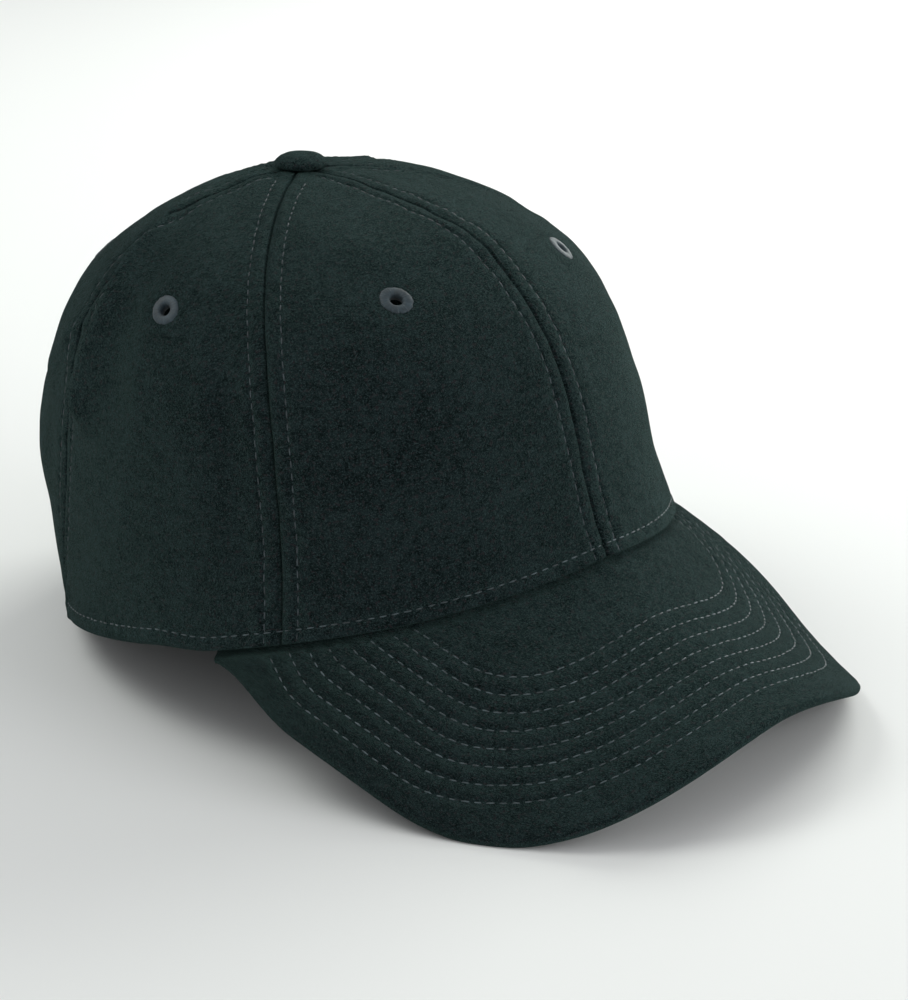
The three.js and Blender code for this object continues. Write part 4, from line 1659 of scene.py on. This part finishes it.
@dataclass
class Button:
    """The felt-covered button at the top, with its shank through the felt."""

    dress: SeamDress
    maker: Fabricator
    columns: int = 96
    radius: float = 7.4
    seat: float = 133.3
    top: float = 137.0
    profile: tuple[Pair, ...] = (
        (0.0, 0.0), (0.12, -0.003), (0.25, -0.015), (0.40, -0.045), (0.55, -0.10),
        (0.70, -0.19), (0.83, -0.32), (0.93, -0.48), (0.99, -0.66), (1.0, -0.80),
        (0.97, -0.92), (0.90, -0.985), (0.78, -1.0), (0.40, -1.0),
    )
    shank: tuple[Pair, ...] = (
        (3.1, 0.0), (3.0, -1.4), (3.1, -2.4), (5.4, -2.5), (5.9, -2.8),
        (6.0, -3.2), (5.7, -3.5), (4.0, -3.65), (2.0, -3.7), (0.0, -3.7),
    )
    gather: float = 0.011
    gather_from: Pair = (0.72, 0.99)
    oval: float = 0.006
    waves: Waves = Waves(0.05, 7, 9)
    pattern_place: float = 1500.0

    def build(self) -> None:
        """Makes and dresses the button.

        Its section turns round a vertical axis. Small gathers of the covering felt, each
        a sine of the turn, grow towards its edge.
        """
        height = self.top - self.seat
        dome = np.array([(r * self.radius, self.top + z * height) for r, z in self.profile])
        shank = np.array(self.shank) + [0.0, self.seat]
        line = np.concatenate([self.refined(dome, 3), shank])
        radius, rise = line[1:-1, 0], line[1:-1, 1]
        turn = np.arange(self.columns) * 2 * np.pi / self.columns
        gather = np.sin(11 * turn + 0.7 * np.sin(3 * turn)) + 0.5 * np.sin(17 * turn + 1.1)
        grow = smoothstep(radius, *(share * self.radius for share in self.gather_from))
        spread = 1 + self.gather * gather[:, None] * grow[None, :]
        spread = spread + self.oval * np.sin(2 * turn + 0.4)[:, None]
        way = np.stack([np.cos(turn), np.sin(turn)], -1)[:, None]
        flat = radius[None, :, None] * way
        z = rise + self.waves.over(flat[..., 0], flat[..., 1])
        setback = np.array([0.0, self.dress.crown.form.top_setback])
        points = np.concatenate([flat * spread[..., None] + setback, z[..., None]], -1)
        poles = [[*setback, line[0, 1]], [*setback, line[-1, 1]]]
        points = np.concatenate([points.reshape(-1, 3), poles])
        far = np.cumsum(np.hypot(*np.diff(line, axis=0).T))[:-1]
        uv = np.concatenate([(far[None, :, None] * way).reshape(-1, 2), np.zeros((2, 2))])
        faces = self.maker.tube_faces(self.columns, len(radius))
        piece = self.maker.mesh("covered_button", points, faces, uv + self.pattern_place)
        settle(piece, CROWN_FELT.material(), "felt", "button")

    @staticmethod
    def refined(line: Array, steps: int) -> Array:
        """The line with each stretch cut into equal steps."""
        at = np.arange((len(line) - 1) * steps + 1) / steps
        return np.stack([np.interp(at, np.arange(len(line)), line[:, k]) for k in (0, 1)], -1)


@dataclass(frozen=True)
class Lamp:
    """A square soft light: where it hangs, where it points, its size, power and colour."""

    name: str
    place: Triple
    aim: Triple
    size: float
    power: float
    colour: Triple = (1.0, 1.0, 1.0)

    def hang(self) -> None:
        """Adds the light."""
        data = bpy.data.lights.new(self.name, "AREA")
        data.shape, data.size = "SQUARE", self.size
        data.energy, data.color = self.power, self.colour
        lamp = bpy.data.objects.new(self.name, data)
        lamp.location = self.place
        way = Vector(self.aim) - Vector(self.place)
        lamp.rotation_euler = way.to_track_quat("-Z", "Y").to_euler()
        bpy.context.scene.collection.objects.link(lamp)


@dataclass
class Studio:
    """The camera at the photograph's angle, a pale floor and soft light."""

    maker: Fabricator
    eye: Triple = (-494.2, -500.0, 325.7)
    azimuth: float = 46.3
    elevation: float = 22.04
    focal_pixels: float = 2660.0
    frame_pixels: float = 1000.0
    sensor: float = 36.0
    floor_half: float = 6.0
    world: Triple = (0.96, 0.98, 1.0)
    world_strength: float = 0.47
    lamps: tuple[Lamp, ...] = (
        Lamp("key_light", (1.05, 0.15, 0.60), (0.0, 0.0, 0.06), 0.8, 11.0, (0.96, 1.0, 0.95)),
        Lamp("fill_light", (0.35, -1.15, 0.42), (0.0, 0.0, 0.06), 0.9, 5.8, (0.98, 0.99, 1.0)),
        Lamp("back_light", (-0.50, 0.80, 1.30), (0.0, 0.0, 0.08), 0.8, 7.5, (0.96, 1.0, 0.96)),
    )

    def place_camera(self) -> None:
        """Puts the camera where the photograph was taken from."""
        data = bpy.data.cameras.new("camera")
        data.sensor_fit, data.sensor_height = "VERTICAL", self.sensor
        data.lens = self.focal_pixels / self.frame_pixels * self.sensor
        data.clip_start = 0.05
        camera = bpy.data.objects.new("camera", data)
        camera.location = self.maker.to_frame(np.array(self.eye))
        turn = np.radians([90.0 - self.elevation, 0.0, -self.azimuth])
        camera.rotation_euler = Euler(turn.tolist())
        bpy.context.scene.collection.objects.link(camera)
        bpy.context.scene.camera = camera
        bpy.context.scene.view_settings.view_transform = "Standard"

    def light(self) -> None:
        """Adds the floor, the sky and the lamps."""
        half = self.floor_half
        data = bpy.data.meshes.new("floor")
        corners = [(-half, -half, 0), (half, -half, 0), (half, half, 0), (-half, half, 0)]
        data.from_pydata(corners, [], [(0, 1, 2, 3)])
        floor = bpy.data.objects.new("floor", data)
        data.materials.append(FLOOR_FINISH.material())
        bpy.context.scene.collection.objects.link(floor)
        world = bpy.data.worlds.new("soft_sky")
        world.use_nodes = True
        sky = world.node_tree.nodes["Background"]
        sky.inputs["Color"].default_value = (*self.world, 1.0)
        sky.inputs["Strength"].default_value = self.world_strength
        bpy.context.scene.world = world
        for lamp in self.lamps:
            lamp.hang()


def main() -> None:
    """Builds the cap and its studio, and notes the sizes."""
    logging.basicConfig(level=logging.INFO, format="%(name)s: %(message)s")
    form = CrownForm()
    peak_form = PeakForm(form)
    maker = Fabricator(form)
    studio = Studio(maker)
    studio.place_camera()
    crown = CrownMap(form, peak_form)
    dress = SeamDress(crown)
    peak = Peak(peak_form, crown, maker)
    Crown(dress, maker).build()
    peak.build()
    Stitching(dress, peak, maker).build()
    Eyelets(dress, maker).build()
    Button(dress, maker).build()
    studio.light()


if __name__ == "__main__":
    main()
